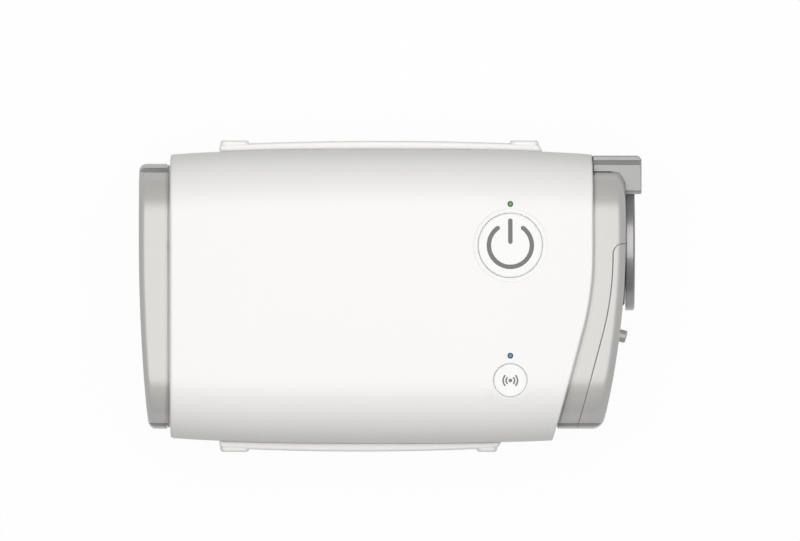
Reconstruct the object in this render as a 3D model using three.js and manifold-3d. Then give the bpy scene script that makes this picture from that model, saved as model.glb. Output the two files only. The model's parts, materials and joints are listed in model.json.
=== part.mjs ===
// A travel CPAP machine: a small bedside blower in a white two-part case with grey ends, in millimetres.
// X runs from the intake end to the outlet end, Y from the front edge to the back edge, Z up out of the
// button face. The origin lies on the resting plane, under the middle of the case.

import * as THREE from 'three';
import { mergeVertices } from 'three/addons/utils/BufferGeometryUtils.js';
import Module from 'manifold-3d';

const wasm = await Module();
wasm.setup();

// Fits
const clearance = 0.3; // air between two fixed pieces that seat on each other
const buttonGap = 0.5; // air round a button
const runningFit = 0.1; // air between the shaft and its bearings
const overrun = 1; // how far a cutting tool passes the face that it cuts
const seamGap = 0.3; // between the two case halves

// Case
const bodyLength = 136;
const bodyWidth = 84.4;
const bodyHeight = 52;
const footStand = 1.2; // how far the feet lift the case
const railProud = 2.4; // how far the side rails stand out of the case
const shellCorner = 17.8;
const wall = 2.2;
const sideBow = 1.4; // how much narrower each side is at the ends
const crownBow = 0.8; // how much lower the crown is at the ends
const intakeDepth = 8.4; // from the intake face to the case edge
const outletReach = 12.9; // from the case edge to the furthest point of the outlet end
const edgeRound = 0.8;
const slantInset = 28.3; // from the back of the case to where the outlet edge starts to turn in
const slantRadius = 80;
const slantAngle = THREE.MathUtils.degToRad(15);

const shellHalfWidth = bodyWidth / 2 - railProud;
const shellHalfHeight = (bodyHeight - footStand) / 2;
const midHeight = footStand + shellHalfHeight;
const shellLeft = -bodyLength / 2 + intakeDepth;
const shellRight = bodyLength / 2 - outletReach;
const shellMiddle = (shellLeft + shellRight) / 2;
const shellHalfLength = (shellRight - shellLeft) / 2;

// Case screws, each up a deep hole in the lower case into a post of the upper case
const postSideInset = 9.3; // from the side of the case
const postRadius = 3;
const screwWellRadius = 2.6;
const screwWellWall = 1.1;
const screwHeadRadius = 2.2;
const screwHeadHeight = 1.9;
const screwShankRadius = 1.2;
const screwGrip = 4; // plastic under the screw head
const screwLength = 10;
const intakePostInset = 11.6; // from the case edge
const backPostInset = 11; // from the outlet edge
const frontPostInset = 10;

// Feet
const footRadius = 5;
const footSeatDepth = 0.8;
const footSideInset = 23.8; // from the side of the case
const footInset = 12.6; // from the ends of the case
const outletFootInset = 19;

// Side rails
const railHeight = 13;
const railIntakeInset = 13.1; // from the ends of the case
const backRailInset = 13.7;
const frontRailInset = 24.9;
const railCrown = 0.1; // how far the rail's middle stays inside the pads
const railBow = 1;
const railEndSlant = 1.2;
const padLength = 7.8;
const shortPadLength = 5.6;
const padHeight = 9;
const padThickness = 1.4;
const padInset = 0.8;
const padCorner = 1.6;

// Intake end
const coverFlatDepth = 24.8; // from the back of the case to where the intake face starts to bow in
const coverBow = 2.6; // how far the intake face bows in at the front
const coverFillet = 2.8;
const coverWall = 1.8;
const coverGap = 0.5; // visible gap between cover and case
const ventCount = 13;
const ventWidth = 1.4;
const ventPitch = 3.6;
const ventHeight = 24;
const ventBandGap = 2.4;
const filterThickness = 2.2;
const filterMargin = 0.5;
const frameDepth = 4;
const frameRim = 5;
const frameBarCount = 5;
const frameBarWidth = 1.6;
const frameBarDepth = 1.5;
const hookWidth = 8;
const hookReach = 2.6;
const hookThickness = 1.2;
const foamSideGap = 0.8; // from the foam to the screw wells
const foamTopGap = 2.1; // from the foam to the outline of the intake plug
const foamRearGap = 3.5; // from the foam to the blower
const foamBoreRadius = 9;

// Outlet end
const plugDepth = 4; // how far the end cap reaches into the case
const faceDepth = 8.7; // from the case edge to the outlet face
const faceRadius = 230;
const faceRise = 3.7; // from the outlet's axis to the middle of the bowed face
const endFillet = 3.2;
const capWall = 2.2;
const bezelSeam = 5.5; // from the case edge to the port panel
const bezelDrop = 0.9; // from the outlet's axis to the top of the port panel
const bezelCorner = 2.7;
const collarFlange = 5.7; // how far the collar stands out round its spigot
const collarReach = 2.4; // how far the collar stands out of the outlet face
const spigotWall = 1.5;
const spigotLength = 11;
const collarSeatInset = 1.3;
const keyRadius = 1.7;
const keyProud = 1.3;
const keyPlaceShare = 0.21; // of the way from the collar to the front of the end
const guardDepth = 10.7; // from the back of the case to the guard's front
const guardHeight = 29;
const guardChamfer = 1.6;
const guardStep = 0.3;

// Power socket
const jackPlaceShare = 0.534; // of the way from the collar to the front of the end
const jackRadius = 4;
const jackLength = 11;
const jackSink = 4.5; // how deep the socket sits in the port panel
const jackBore = 2.75;
const jackBoreDepth = 9;
const jackPinRadius = 0.9;
const jackPinSink = 1;

// Blower
const blowerLead = 3.75; // from the middle of the case towards the intake
const blowerFrontShare = 0.7286; // of the way from the middle line to the front wall
const voluteStartShare = 0.796; // the spiral's radius at its tongue, over that at its outlet
const voluteFrontShare = 0.6; // of the spiral's growth, what it still lacks at the front
const voluteWall = 1.6;
const neckLength = 6;
const neckWall = 1.5;
const channelInset = 3; // how far the straight channel stays inside the spiral's reach
const eyeRadius = 9;
const motorRadius = 14.2;
const motorWall = 1.6;
const motorDepth = 9; // how far the motor hangs below the volute
const motorCapThickness = 3;
const legGap = 0.9; // from the motor to the legs
const legRadius = 3.4;
const legLength = 5.6;
const mountBossHeight = 2;
const mountWaist = 2.4;
const shaftRadius = 1.5;
const shaftSink = 0.2; // how far the shaft ends below the top of the impeller's hub
const bearingRadius = 4;
const bearingHeight = 2.5;
const bearingLip = 1;
const magnetRadius = 5.6;
const airGap = 0.8; // between the magnet and the stator
const statorToothWidth = 3;
const statorYoke = 2;
const statorTeeth = 6;
const impellerShare = 0.856; // over the radius at the spiral's tongue
const impellerPlate = 1.2;
const impellerHubRadius = 4.2;
const impellerLift = 1.6; // from the volute floor to the impeller
const bladeCount = 9;
const bladeThickness = 1;
const bladeHubShare = 0.717; // of the room above the impeller's plate
const bladeTipShare = 0.45;
const bladeSteps = 5;
const bladeSweep = Math.PI / 4;

// Outlet duct
const ductShare = 0.6426; // the duct's radius over the height from the middle to the board
const ductSideGap = 3.5; // from the duct to the screw well beside it
const bellowsWall = 1.6;
const bellowsOverlap = 4.4;
const bellowsRib = 0.8;
const bellowsFolds = 6;
const ductReach = 4; // how far the duct reaches into the collar spigot
const sealWidth = 3;
const sealThickness = 2; // from the duct to the collar's bore

// Circuit board and what stands on it
const boardThickness = 1.6;
const boardInset = 10.6; // from the outlet edge
const boardLength = 42.5;
const boardSideGap = 1; // from the board to the screw posts
const boardBossRadius = 2.5;
const boardBossGap = 0.9; // from a boss to the flange of the power button
const boardScrewHead = 1.8;
const boardScrewHeadHeight = 1.1;
const boardScrewShank = 0.9;
const boardScrewLength = 6;
const boardScrewInset = 2.7; // from the board's sides
const boardScrewRun = 6; // from the board's left edge
const boardScrewTurn = THREE.MathUtils.degToRad(49); // round the power button
const chipSize = 10;
const chipHeight = 1.2;
const radioLength = 13;
const radioWidth = 9;
const radioHeight = 2.2;
const inductorRadius = 4.5;
const inductorHeight = 4.6;
const partRowShare = 0.77; // of the way from the board's left edge to the power button
const partSideInset = 10; // from the board's sides
const sensorSize = 8;
const sensorHeight = 2.4;
const sensorTubeRadius = 1.5;
const tapRun = 3.74; // from the bellows to the tap
const ledRadius = 0.9;
const ledHeight = 1;
const leadRadius = 1.1;
const leadInset = 5.5; // from the board's front side

// Controls
const controlsInset = 22.66; // from the outlet edge
const powerInset = 25.9; // from the back of the case
const powerRadius = 8.45;
const powerSwitchSize = 6;
const powerLightGap = 2.75; // from the button's side to its light
const pairingInset = 17.2; // from the front of the case
const pairingRadius = 4.3;
const pairingSwitchSize = 3.6;
const pairingLightGap = 2.4;
const buttonTravel = 0.6;
const buttonSink = 0.1; // how far a button's top lies below the crown
const buttonPlate = 1.8;
const buttonFlangeWidth = 1.2;
const buttonFlangeThickness = 1.2;
const buttonSkirtWall = 1.1;
const switchHeight = 3.1;
const stemRise = 1.2;
const stemShare = 0.27; // stem radius over switch size
const domeWall = 0.8;
const domeShoulder = 0.5;
const domeGap = 0.1; // from the dome to a button pressed all the way
const lightPipeRadius = 0.65;

// How finely curves are cut
const cornerSteps = 6;
const faceFlatSteps = 5; // across a bowed end face
const filletSteps = 3;
const shellStations = 9;
const roomStations = 5;
const curveSteps = 9;
const smallSides = 12;
const coarseSides = 20;
const fineSides = 40;

const materials = {
  shell: new THREE.MeshStandardMaterial({ color: 0xf7f7f5, roughness: 0.4 }),
  ends: new THREE.MeshStandardMaterial({ color: 0xc9c9c6, roughness: 0.45 }),
  collar: new THREE.MeshStandardMaterial({ color: 0x9b9c9b, roughness: 0.3 }),
  button: new THREE.MeshStandardMaterial({ color: 0xf9f9f8, roughness: 0.35 }),
  rubber: new THREE.MeshStandardMaterial({ color: 0xdcdcda, roughness: 0.8 }),
  foam: new THREE.MeshStandardMaterial({ color: 0x5c6064, roughness: 1 }),
  filter: new THREE.MeshStandardMaterial({ color: 0xf0efe9, roughness: 1 }),
  silicone: new THREE.MeshStandardMaterial({ color: 0xb9c4cc, roughness: 0.6 }),
  inner: new THREE.MeshStandardMaterial({ color: 0x34373a, roughness: 0.55 }),
  steel: new THREE.MeshStandardMaterial({ color: 0xb8babd, roughness: 0.3, metalness: 1 }),
  copper: new THREE.MeshStandardMaterial({ color: 0xb87333, roughness: 0.4, metalness: 1 }),
  board: new THREE.MeshStandardMaterial({ color: 0x1f6b3a, roughness: 0.5 }),
  chip: new THREE.MeshStandardMaterial({ color: 0x17181a, roughness: 0.5 }),
  greenLight: new THREE.MeshStandardMaterial({ color: 0x3c8c32, roughness: 0.3 }),
  blueLight: new THREE.MeshStandardMaterial({ color: 0x326e8c, roughness: 0.3 }),
};

// Solids from three.js geometry, and back

function solid(geometry) {
  geometry.deleteAttribute('normal');
  geometry.deleteAttribute('uv');
  const merged = mergeVertices(geometry, 1e-4);
  const vertProperties = new Float32Array(merged.attributes.position.array);
  const triVerts = new Uint32Array(merged.index.array);
  return new wasm.Manifold(new wasm.Mesh({ numProp: 3, vertProperties, triVerts }));
}

function geometryOf(manifold) {
  const mesh = manifold.getMesh();
  const geometry = new THREE.BufferGeometry();
  geometry.setAttribute('position', new THREE.BufferAttribute(new Float32Array(mesh.vertProperties), 3));
  geometry.setIndex(new THREE.BufferAttribute(new Uint32Array(mesh.triVerts), 1));
  return geometry;
}

function block(x0, x1, y0, y1, z0, z1) {
  const geometry = new THREE.BoxGeometry(x1 - x0, y1 - y0, z1 - z0);
  geometry.translate((x0 + x1) / 2, (y0 + y1) / 2, (z0 + z1) / 2);
  return solid(geometry);
}

// A turned piece: profile points are [radius, height], from the bottom up on the outside
function turned(profile, sides, closed = false) {
  const points = profile.map(([radius, height]) => new THREE.Vector2(radius, height));
  if (closed) {
    points.push(points[0].clone());
  }
  return new THREE.LatheGeometry(points, sides);
}

function upright(geometry, x, y) {
  geometry.rotateX(Math.PI / 2);
  geometry.translate(x, y, 0);
  return solid(geometry);
}

function lengthwise(geometry, y, z) {
  geometry.rotateZ(-Math.PI / 2);
  geometry.translate(0, y, z);
  return solid(geometry);
}

const rodProfile = (radius, low, high) => [[0, low], [radius, low], [radius, high], [0, high]];
const ringProfile = (inner, outer, low, high) => [[inner, low], [outer, low], [outer, high], [inner, high]];

const rod = (radius, low, high, x, y, sides = coarseSides) =>
  upright(turned(rodProfile(radius, low, high), sides), x, y);

const ring = (inner, outer, low, high, x, y, sides = coarseSides) =>
  upright(turned(ringProfile(inner, outer, low, high), sides, true), x, y);

const barrel = (radius, left, right, y, z, sides = coarseSides) =>
  lengthwise(turned(rodProfile(radius, left, right), sides), y, z);

const sleeve = (inner, outer, left, right, y, z, sides = coarseSides) =>
  lengthwise(turned(ringProfile(inner, outer, left, right), sides, true), y, z);

function shapeOf(points) {
  return new THREE.Shape(points.map(([x, y]) => new THREE.Vector2(x, y)));
}

// A plan outline in X and Y, raised from low to high
function raised(points, low, high) {
  const geometry = new THREE.ExtrudeGeometry(shapeOf(points), { depth: high - low, bevelEnabled: false });
  geometry.translate(0, 0, low);
  return solid(geometry);
}

// A side outline in X and Z, drawn out from front to back
function drawnBack(points, front, back) {
  const geometry = new THREE.ExtrudeGeometry(shapeOf(points), { depth: back - front, bevelEnabled: false });
  geometry.rotateX(Math.PI / 2);
  geometry.translate(0, back, 0);
  return solid(geometry);
}

function roundedOutline(x0, x1, y0, y1, radius, steps = filletSteps) {
  const corners = [[x1, y1], [x0, y1], [x0, y0], [x1, y0]];
  const points = [];
  corners.forEach(([x, y], quarter) => {
    const centreX = x === x1 ? x1 - radius : x0 + radius;
    const centreY = y === y1 ? y1 - radius : y0 + radius;
    for (let step = 0; step <= steps; step++) {
      const angle = (quarter + step / steps) * Math.PI / 2;
      points.push([centreX + radius * Math.cos(angle), centreY + radius * Math.sin(angle)]);
    }
  });
  return points;
}

// The case's cross section in Y and Z, as a ring of points that runs round from the back wall over the crown
function sectionRing(halfWidth, halfHeight, corner, flatSteps = 1) {
  const points = [];
  const flat = halfWidth - corner;
  for (let quarter = 0; quarter < 4; quarter++) {
    const sideY = quarter === 0 || quarter === 3 ? 1 : -1;
    const sideZ = quarter < 2 ? 1 : -1;
    for (let step = 0; step <= cornerSteps; step++) {
      const angle = (quarter + step / cornerSteps) * Math.PI / 2;
      const y = sideY * flat + corner * Math.cos(angle);
      const z = sideZ * (halfHeight - corner) + corner * Math.sin(angle);
      points.push([y, midHeight + z]);
    }
    if (quarter === 0 || quarter === 2) {
      for (let step = 1; step < flatSteps; step++) {
        const y = sideY * flat * (1 - 2 * step / flatSteps);
        points.push([y, midHeight + sideZ * halfHeight]);
      }
    }
  }
  return points;
}

// A solid through section rings; each station gives its ring and where along X each point of the ring lies
function lofted(stations) {
  const count = stations[0].ring.length;
  const positions = [];
  stations.forEach(({ ring: points, xAt }) => {
    points.forEach(([y, z]) => positions.push(xAt(y), y, z));
  });
  const index = [];
  for (let station = 0; station + 1 < stations.length; station++) {
    for (let j = 0; j < count; j++) {
      const a = station * count + j;
      const b = station * count + (j + 1) % count;
      index.push(a, b, a + count, b, b + count, a + count);
    }
  }
  // Each end is closed by strips from the crown to the underside, so that it follows a bowed face
  const last = (stations.length - 1) * count;
  for (let top = 0; top + 1 < count / 2; top++) {
    const low = count - 1 - top;
    index.push(top, low - 1, top + 1, top, low, low - 1);
    index.push(last + top, last + top + 1, last + low - 1, last + top, last + low - 1, last + low);
  }
  const geometry = new THREE.BufferGeometry();
  geometry.setAttribute('position', new THREE.BufferAttribute(new Float32Array(positions), 3));
  geometry.setIndex(index);
  return solid(geometry);
}

// The case outline

const bowShare = (x) => Math.abs((x - shellMiddle) / shellHalfLength) ** 3;
const halfWidthAt = (x) => shellHalfWidth - sideBow * bowShare(x);
const halfHeightAt = (x) => shellHalfHeight - crownBow * bowShare(x);
const crownAt = (x) => midHeight + halfHeightAt(x);
const undersideAt = (x) => midHeight - halfHeightAt(x);

// How far the rounded long edges lie below the crown at a distance from the middle line
function edgeDrop(x, y) {
  const beyond = Math.max(0, Math.abs(y) - (halfWidthAt(x) - shellCorner));
  return shellCorner - Math.sqrt(shellCorner ** 2 - beyond ** 2);
}

// Places that follow the case's sides and ends

const wellRadius = screwWellRadius + screwWellWall;
const postOffset = shellHalfWidth - postSideInset;
const footOffset = shellHalfWidth - footSideInset;
const slantStart = shellHalfWidth - slantInset;
const coverFlatStart = shellHalfWidth - coverFlatDepth;
const railLeft = shellLeft + railIntakeInset;
const backRailRight = shellRight - backRailInset;
const frontRailRight = shellRight - frontRailInset;
const controlsX = shellRight - controlsInset;
const powerOffset = shellHalfWidth - powerInset;
const powerLightOffset = powerOffset + powerRadius + powerLightGap;
const pairingOffset = pairingInset - shellHalfWidth;
const pairingLightOffset = pairingOffset + pairingRadius + pairingLightGap;

// The board hangs below the crown by the height of a switch under a button that is pressed all the way

const flangeDropAt = (offset, radius) => edgeDrop(controlsX, Math.abs(offset) + radius + buttonFlangeWidth);
const flangeDrop = Math.max(
  flangeDropAt(powerOffset, powerRadius),
  flangeDropAt(pairingOffset, pairingRadius),
);
const skirtDrop = flangeDrop + wall + clearance + buttonFlangeThickness;
const boardDrop = skirtDrop + buttonTravel + domeGap + domeShoulder + switchHeight + clearance;
const boardRight = shellRight - boardInset;
const boardLeft = boardRight - boardLength;
const boardHalfWidth = postOffset - postRadius - boardSideGap;

// The duct and the sensor's tap share the height under the board, and the blower fills the width from the
// duct's back to the front wall

const neckRadius = ductShare * (shellHalfHeight - boardDrop - boardThickness - clearance);
const ductBore = neckRadius - neckWall;
const outletOffset = postOffset - wellRadius - ductSideGap - neckRadius;
const outletBore = neckRadius + sealThickness;
const spigotRadius = outletBore + spigotWall;
const collarRadius = spigotRadius + collarFlange;
const bezelTop = outletOffset - bezelDrop;
const faceMiddle = outletOffset + faceRise;
const blowerX = shellMiddle - blowerLead;
const blowerWidth = outletOffset + neckRadius + blowerFrontShare * (shellHalfWidth - wall);
const voluteEnd = blowerWidth / (2 - voluteFrontShare * (1 - voluteStartShare));
const voluteStart = voluteStartShare * voluteEnd;
const channelLength = voluteEnd - channelInset;
const impellerRadius = impellerShare * voluteStart;
const legCircle = motorRadius + legGap + legRadius;
const statorBore = magnetRadius + airGap;

function caseRing(x, inset) {
  return sectionRing(halfWidthAt(x) - inset, halfHeightAt(x) - inset, shellCorner - inset);
}

function caseLoft(left, right, inset, stationCount, leadIn = 0) {
  const stations = [];
  if (leadIn > 0) {
    stations.push({ ring: caseRing(left, inset + leadIn / 2), xAt: () => left });
  }
  for (let step = 0; step <= stationCount; step++) {
    const x = left + leadIn + (right - left - leadIn) * step / stationCount;
    stations.push({ ring: caseRing(x, inset), xAt: () => x });
  }
  return lofted(stations);
}

// The slanted outlet edge of the case, moved out by an offset: straight, then an arc, then a straight slant
function outletEdgeAt(y, offset) {
  const centreX = shellRight - slantRadius;
  const radius = slantRadius + offset;
  const arcEnd = slantStart - radius * Math.sin(slantAngle);
  if (y >= slantStart) {
    return centreX + radius;
  }
  if (y >= arcEnd) {
    return centreX + Math.sqrt(radius ** 2 - (slantStart - y) ** 2);
  }
  return centreX + radius * Math.cos(slantAngle) - (arcEnd - y) * Math.tan(slantAngle);
}

function outletEdgePoints(offset, back, front) {
  const radius = slantRadius + offset;
  const points = [[outletEdgeAt(back, offset), back]];
  for (let step = 0; step <= curveSteps; step++) {
    const y = slantStart - radius * Math.sin(slantAngle * step / curveSteps);
    if (y < back && y > front) {
      points.push([outletEdgeAt(y, offset), y]);
    }
  }
  points.push([outletEdgeAt(front, offset), front]);
  return points;
}

const outletFace = shellRight + faceDepth;

function outletFaceAt(y, offset = 0) {
  const radius = faceRadius + offset;
  return outletFace - faceRadius + Math.sqrt(radius ** 2 - (y - faceMiddle) ** 2);
}

function intakeFaceAt(y, offset = 0) {
  const run = coverFlatStart + intakePlug.halfWidth;
  const coverFaceRadius = (run ** 2 + coverBow ** 2) / (2 * coverBow);
  const radius = coverFaceRadius - offset;
  const beyond = Math.max(0, coverFlatStart - y);
  return -bodyLength / 2 + coverFaceRadius - Math.sqrt(radius ** 2 - beyond ** 2);
}

const backReach = bodyWidth / 2 + overrun;
const frontReach = -backReach;

// Both grey ends are plugs that fit the inside of the case

const plugInset = wall + clearance;
const intakePlug = {
  halfWidth: halfWidthAt(shellLeft) - plugInset,
  halfHeight: halfHeightAt(shellLeft) - plugInset,
};
const outletPlug = {
  halfWidth: halfWidthAt(shellRight) - plugInset,
  halfHeight: halfHeightAt(shellRight) - plugInset,
};
const plugCorner = shellCorner - plugInset;
const portFront = outletOffset - collarRadius;
const portRun = portFront + outletPlug.halfWidth;
const jackOffset = portFront - jackPlaceShare * portRun;
const keyOffset = portFront - keyPlaceShare * portRun;

function plugRing(plug, inset) {
  return sectionRing(plug.halfWidth - inset, plug.halfHeight - inset, plugCorner - inset, faceFlatSteps);
}

// Stations of a rounded rim: the ring draws in by the fillet as it nears the face
function rimStations(plug, inset, fillet, faceAt, side) {
  const stations = [];
  for (let step = 0; step <= filletSteps; step++) {
    const angle = step / filletSteps * Math.PI / 2;
    const depth = fillet * (1 - Math.sin(angle));
    stations.push({
      ring: plugRing(plug, inset + fillet * (1 - Math.cos(angle))),
      xAt: (y) => faceAt(y) - side * depth,
    });
  }
  return stations;
}

// The side screws' places, from the slanted outlet edge and the intake edge

const postPlaces = [
  { name: 'intake_back', x: shellLeft + intakePostInset, y: postOffset },
  { name: 'intake_front', x: shellLeft + intakePostInset, y: -postOffset },
  { name: 'outlet_back', x: outletEdgeAt(postOffset, 0) - backPostInset, y: postOffset },
  { name: 'outlet_front', x: outletEdgeAt(-postOffset, 0) - frontPostInset, y: -postOffset },
];
const footPlaces = [
  { name: 'intake_back', x: shellLeft + footInset, y: footOffset },
  { name: 'intake_front', x: shellLeft + footInset, y: -footOffset },
  { name: 'outlet_back', x: shellRight - outletFootInset, y: footOffset },
  { name: 'outlet_front', x: shellRight - outletFootInset, y: -footOffset },
];

const seamTop = midHeight + seamGap / 2;
const seamLow = midHeight - seamGap / 2;
const screwCeiling = seamLow - screwGrip;
const screwHeadTop = screwCeiling - clearance;
const screwTip = screwHeadTop + screwLength;

// The blower's places

const blowerY = outletOffset - (voluteEnd - neckRadius);
const voluteFloor = midHeight - neckRadius;
const voluteRoof = midHeight + neckRadius;
const motorLow = voluteFloor - motorDepth;
const legLow = voluteFloor - legLength;
const legPlaces = [90, 210, 330].map((degrees) => {
  const angle = THREE.MathUtils.degToRad(degrees);
  return { x: blowerX + legCircle * Math.cos(angle), y: blowerY + legCircle * Math.sin(angle), angle };
});
const bossTopAt = (x) => undersideAt(x) + wall + mountBossHeight;

// The board's places and the controls above it

const boardTop = crownAt(controlsX) - boardDrop;
const boardLow = boardTop - boardThickness;
const sensorLow = boardLow - clearance - sensorHeight;
const boardScrewReach = powerRadius + buttonFlangeWidth + boardBossRadius + boardBossGap;
const boardScrewX = controlsX + boardScrewReach * Math.cos(boardScrewTurn);
const boardScrews = [
  { x: boardLeft + boardScrewRun, y: boardHalfWidth - boardScrewInset },
  { x: boardLeft + boardScrewRun, y: boardScrewInset - boardHalfWidth },
  { x: boardScrewX, y: powerOffset + boardScrewReach * Math.sin(boardScrewTurn) },
  { x: boardScrewX, y: (powerOffset + pairingOffset) / 2 },
];
const controls = {
  power: {
    y: powerOffset,
    radius: powerRadius,
    switchSize: powerSwitchSize,
    lightOffset: powerLightOffset,
    light: materials.greenLight,
  },
  pairing: {
    y: pairingOffset,
    radius: pairingRadius,
    switchSize: pairingSwitchSize,
    lightOffset: pairingLightOffset,
    light: materials.blueLight,
  },
};

const machine = new THREE.Group();

function add(name, manifold, material) {
  const mesh = new THREE.Mesh(geometryOf(manifold), material);
  mesh.name = name;
  machine.add(mesh);
}

// Upper and lower case

const outerCase = caseLoft(shellLeft, shellRight + overrun, 0, shellStations, edgeRound);
const caseRoom = caseLoft(shellLeft - overrun, shellRight + 2 * overrun, wall, roomStations);
const caseLeftOfEdge = raised(
  [
    ...outletEdgePoints(0, backReach, frontReach),
    [shellLeft - overrun, frontReach],
    [shellLeft - overrun, backReach],
  ],
  -overrun,
  bodyHeight + overrun,
);

function caseHalf(low, high) {
  const half = block(shellLeft - overrun, shellRight + overrun, frontReach, backReach, low, high);
  return outerCase.intersect(caseLeftOfEdge).subtract(caseRoom).intersect(half);
}

function upperCase() {
  const above = block(shellLeft, shellRight, frontReach, backReach, seamTop, bodyHeight + overrun);
  const fill = outerCase.intersect(above);
  let shell = caseHalf(seamTop, bodyHeight + overrun);
  for (const { x, y } of postPlaces) {
    const pilot = screwShankRadius + clearance;
    shell = shell.add(rod(postRadius, seamTop, bodyHeight, x, y, smallSides).intersect(fill));
    shell = shell.subtract(rod(pilot, seamTop - overrun, screwTip + clearance, x, y, smallSides));
  }
  for (const { x, y } of boardScrews) {
    const tip = boardLow + boardScrewLength;
    const boss = rod(boardBossRadius, boardTop + clearance, bodyHeight, x, y, smallSides);
    shell = shell.add(boss.intersect(fill));
    shell = shell.subtract(rod(boardScrewShank + clearance, boardTop, tip, x, y, smallSides));
  }
  for (const { y, radius, lightOffset } of Object.values(controls)) {
    const pipeHole = lightPipeRadius + clearance;
    shell = shell.subtract(rod(radius + buttonGap, boardTop, bodyHeight + overrun, controlsX, y, fineSides));
    shell = shell.subtract(rod(pipeHole, boardTop, bodyHeight + overrun, controlsX, lightOffset, smallSides));
  }
  return shell;
}

function lowerCase() {
  const below = block(shellLeft, shellRight, frontReach, backReach, 0, seamLow);
  const fill = outerCase.intersect(below);
  let shell = caseHalf(0, seamLow);
  for (const { x, y } of postPlaces) {
    const shankHole = screwShankRadius + clearance;
    shell = shell.add(rod(wellRadius, 0, seamLow, x, y).intersect(fill));
    shell = shell.subtract(rod(screwWellRadius, -overrun, screwCeiling, x, y));
    shell = shell.subtract(rod(shankHole, screwCeiling - overrun, midHeight, x, y, smallSides));
  }
  for (const { x, y } of legPlaces) {
    shell = shell.add(rod(legRadius, 0, bossTopAt(x), x, y, smallSides).intersect(fill));
  }
  for (const { x, y } of footPlaces) {
    const seat = undersideAt(x) + footSeatDepth;
    shell = shell.subtract(rod(footRadius + clearance, -overrun, seat, x, y));
  }
  return shell;
}

add('upper_case', upperCase(), materials.shell);
add('lower_case', lowerCase(), materials.shell);

for (const { name, x, y } of footPlaces) {
  const top = undersideAt(x) + footSeatDepth - clearance;
  add(`foot_${name}`, rod(footRadius, 0, top, x, y), materials.rubber);
}

for (const { name, x, y } of postPlaces) {
  const head = rod(screwHeadRadius, screwHeadTop - screwHeadHeight, screwHeadTop, x, y, smallSides);
  const shank = rod(screwShankRadius, screwHeadTop - screwHeadHeight / 2, screwTip, x, y, smallSides);
  add(`case_screw_${name}`, head.add(shank), materials.steel);
}

// Side rails with a raised pad at each end

function railPad(side, left, length) {
  const points = roundedOutline(
    left, left + length, midHeight - padHeight / 2, midHeight + padHeight / 2, padCorner,
  );
  const outer = side * bodyWidth / 2;
  const inner = side * (bodyWidth / 2 - padThickness);
  return drawnBack(points, Math.min(outer, inner), Math.max(outer, inner));
}

function addRail(name, side, right, rightPadLength) {
  const middle = (railLeft + right) / 2;
  const half = (right - railLeft) / 2;
  const outerAt = (x) => bodyWidth / 2 - railCrown - railBow * ((x - middle) / half) ** 2;
  const innerAt = (x) => halfWidthAt(x) + clearance;
  const outline = [];
  for (let step = 0; step <= curveSteps; step++) {
    const x = railLeft + (right - railLeft) * step / curveSteps;
    outline.push([x, side * innerAt(x)]);
  }
  for (let step = curveSteps; step >= 0; step--) {
    const x = middle + (half - railEndSlant) * (2 * step / curveSteps - 1);
    outline.push([x, side * outerAt(x)]);
  }
  const rightPad = right - padInset - railEndSlant - rightPadLength;
  const pads = [
    [railLeft + padInset + railEndSlant, padLength],
    [rightPad, rightPadLength],
  ];
  let rail = raised(outline, midHeight - railHeight / 2, midHeight + railHeight / 2);
  for (const [left, length] of pads) {
    rail = rail.add(railPad(side, left, length));
  }
  add(name, rail, materials.shell);
}

addRail('back_rail', 1, backRailRight, padLength);
addRail('front_rail', -1, frontRailRight, shortPadLength);

// Intake end: a snap-off cover with the air filter behind it, on a frame that plugs the case

const coverRim = shellLeft - coverGap;
const frameFace = shellLeft - coverGap + clearance;
const filterRight = coverRim - clearance - coverWall / 2;
const ventSpan = ventHeight / 2 - ventBandGap / 2;
const hookZ = intakePlug.halfHeight - coverWall - clearance - hookThickness;

function hookBlock(sign, grow) {
  const near = midHeight + sign * (hookZ - grow);
  const far = midHeight + sign * (hookZ + hookThickness + grow);
  const half = hookWidth / 2 + grow;
  const right = coverRim + hookReach + grow;
  return block(coverRim - coverWall / 2 - grow, right, -half, half, Math.min(near, far), Math.max(near, far));
}

function filterCover() {
  const outer = lofted([
    ...rimStations(intakePlug, 0, coverFillet, intakeFaceAt, -1).reverse(),
    { ring: plugRing(intakePlug, 0), xAt: () => coverRim },
  ]);
  const hollow = lofted([
    { ring: plugRing(intakePlug, coverWall), xAt: (y) => intakeFaceAt(y) + coverWall },
    { ring: plugRing(intakePlug, coverWall), xAt: () => coverRim + overrun },
  ]);
  let cover = outer.subtract(hollow);
  for (let slot = 0; slot < ventCount; slot++) {
    const y = (slot - (ventCount - 1) / 2) * ventPitch;
    for (const sign of [-1, 1]) {
      const near = midHeight + sign * ventBandGap / 2;
      const far = midHeight + sign * (ventBandGap / 2 + ventSpan);
      cover = cover.subtract(block(
        -bodyLength / 2 - overrun,
        coverRim,
        y - ventWidth / 2,
        y + ventWidth / 2,
        Math.min(near, far),
        Math.max(near, far),
      ));
    }
  }
  for (const sign of [-1, 1]) {
    const tie = midHeight + sign * (hookZ + hookThickness / 2);
    const skin = midHeight + sign * (intakePlug.halfHeight - coverWall / 2);
    const root = block(
      coverRim - coverWall / 2,
      coverRim,
      -hookWidth / 2,
      hookWidth / 2,
      Math.min(tie, skin),
      Math.max(tie, skin),
    );
    cover = cover.add(hookBlock(sign, 0)).add(root);
  }
  return cover;
}

function airFilter() {
  const outline = plugRing(intakePlug, coverWall + filterMargin);
  return lofted([
    { ring: outline, xAt: () => filterRight - filterThickness },
    { ring: outline, xAt: () => filterRight },
  ]);
}

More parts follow.
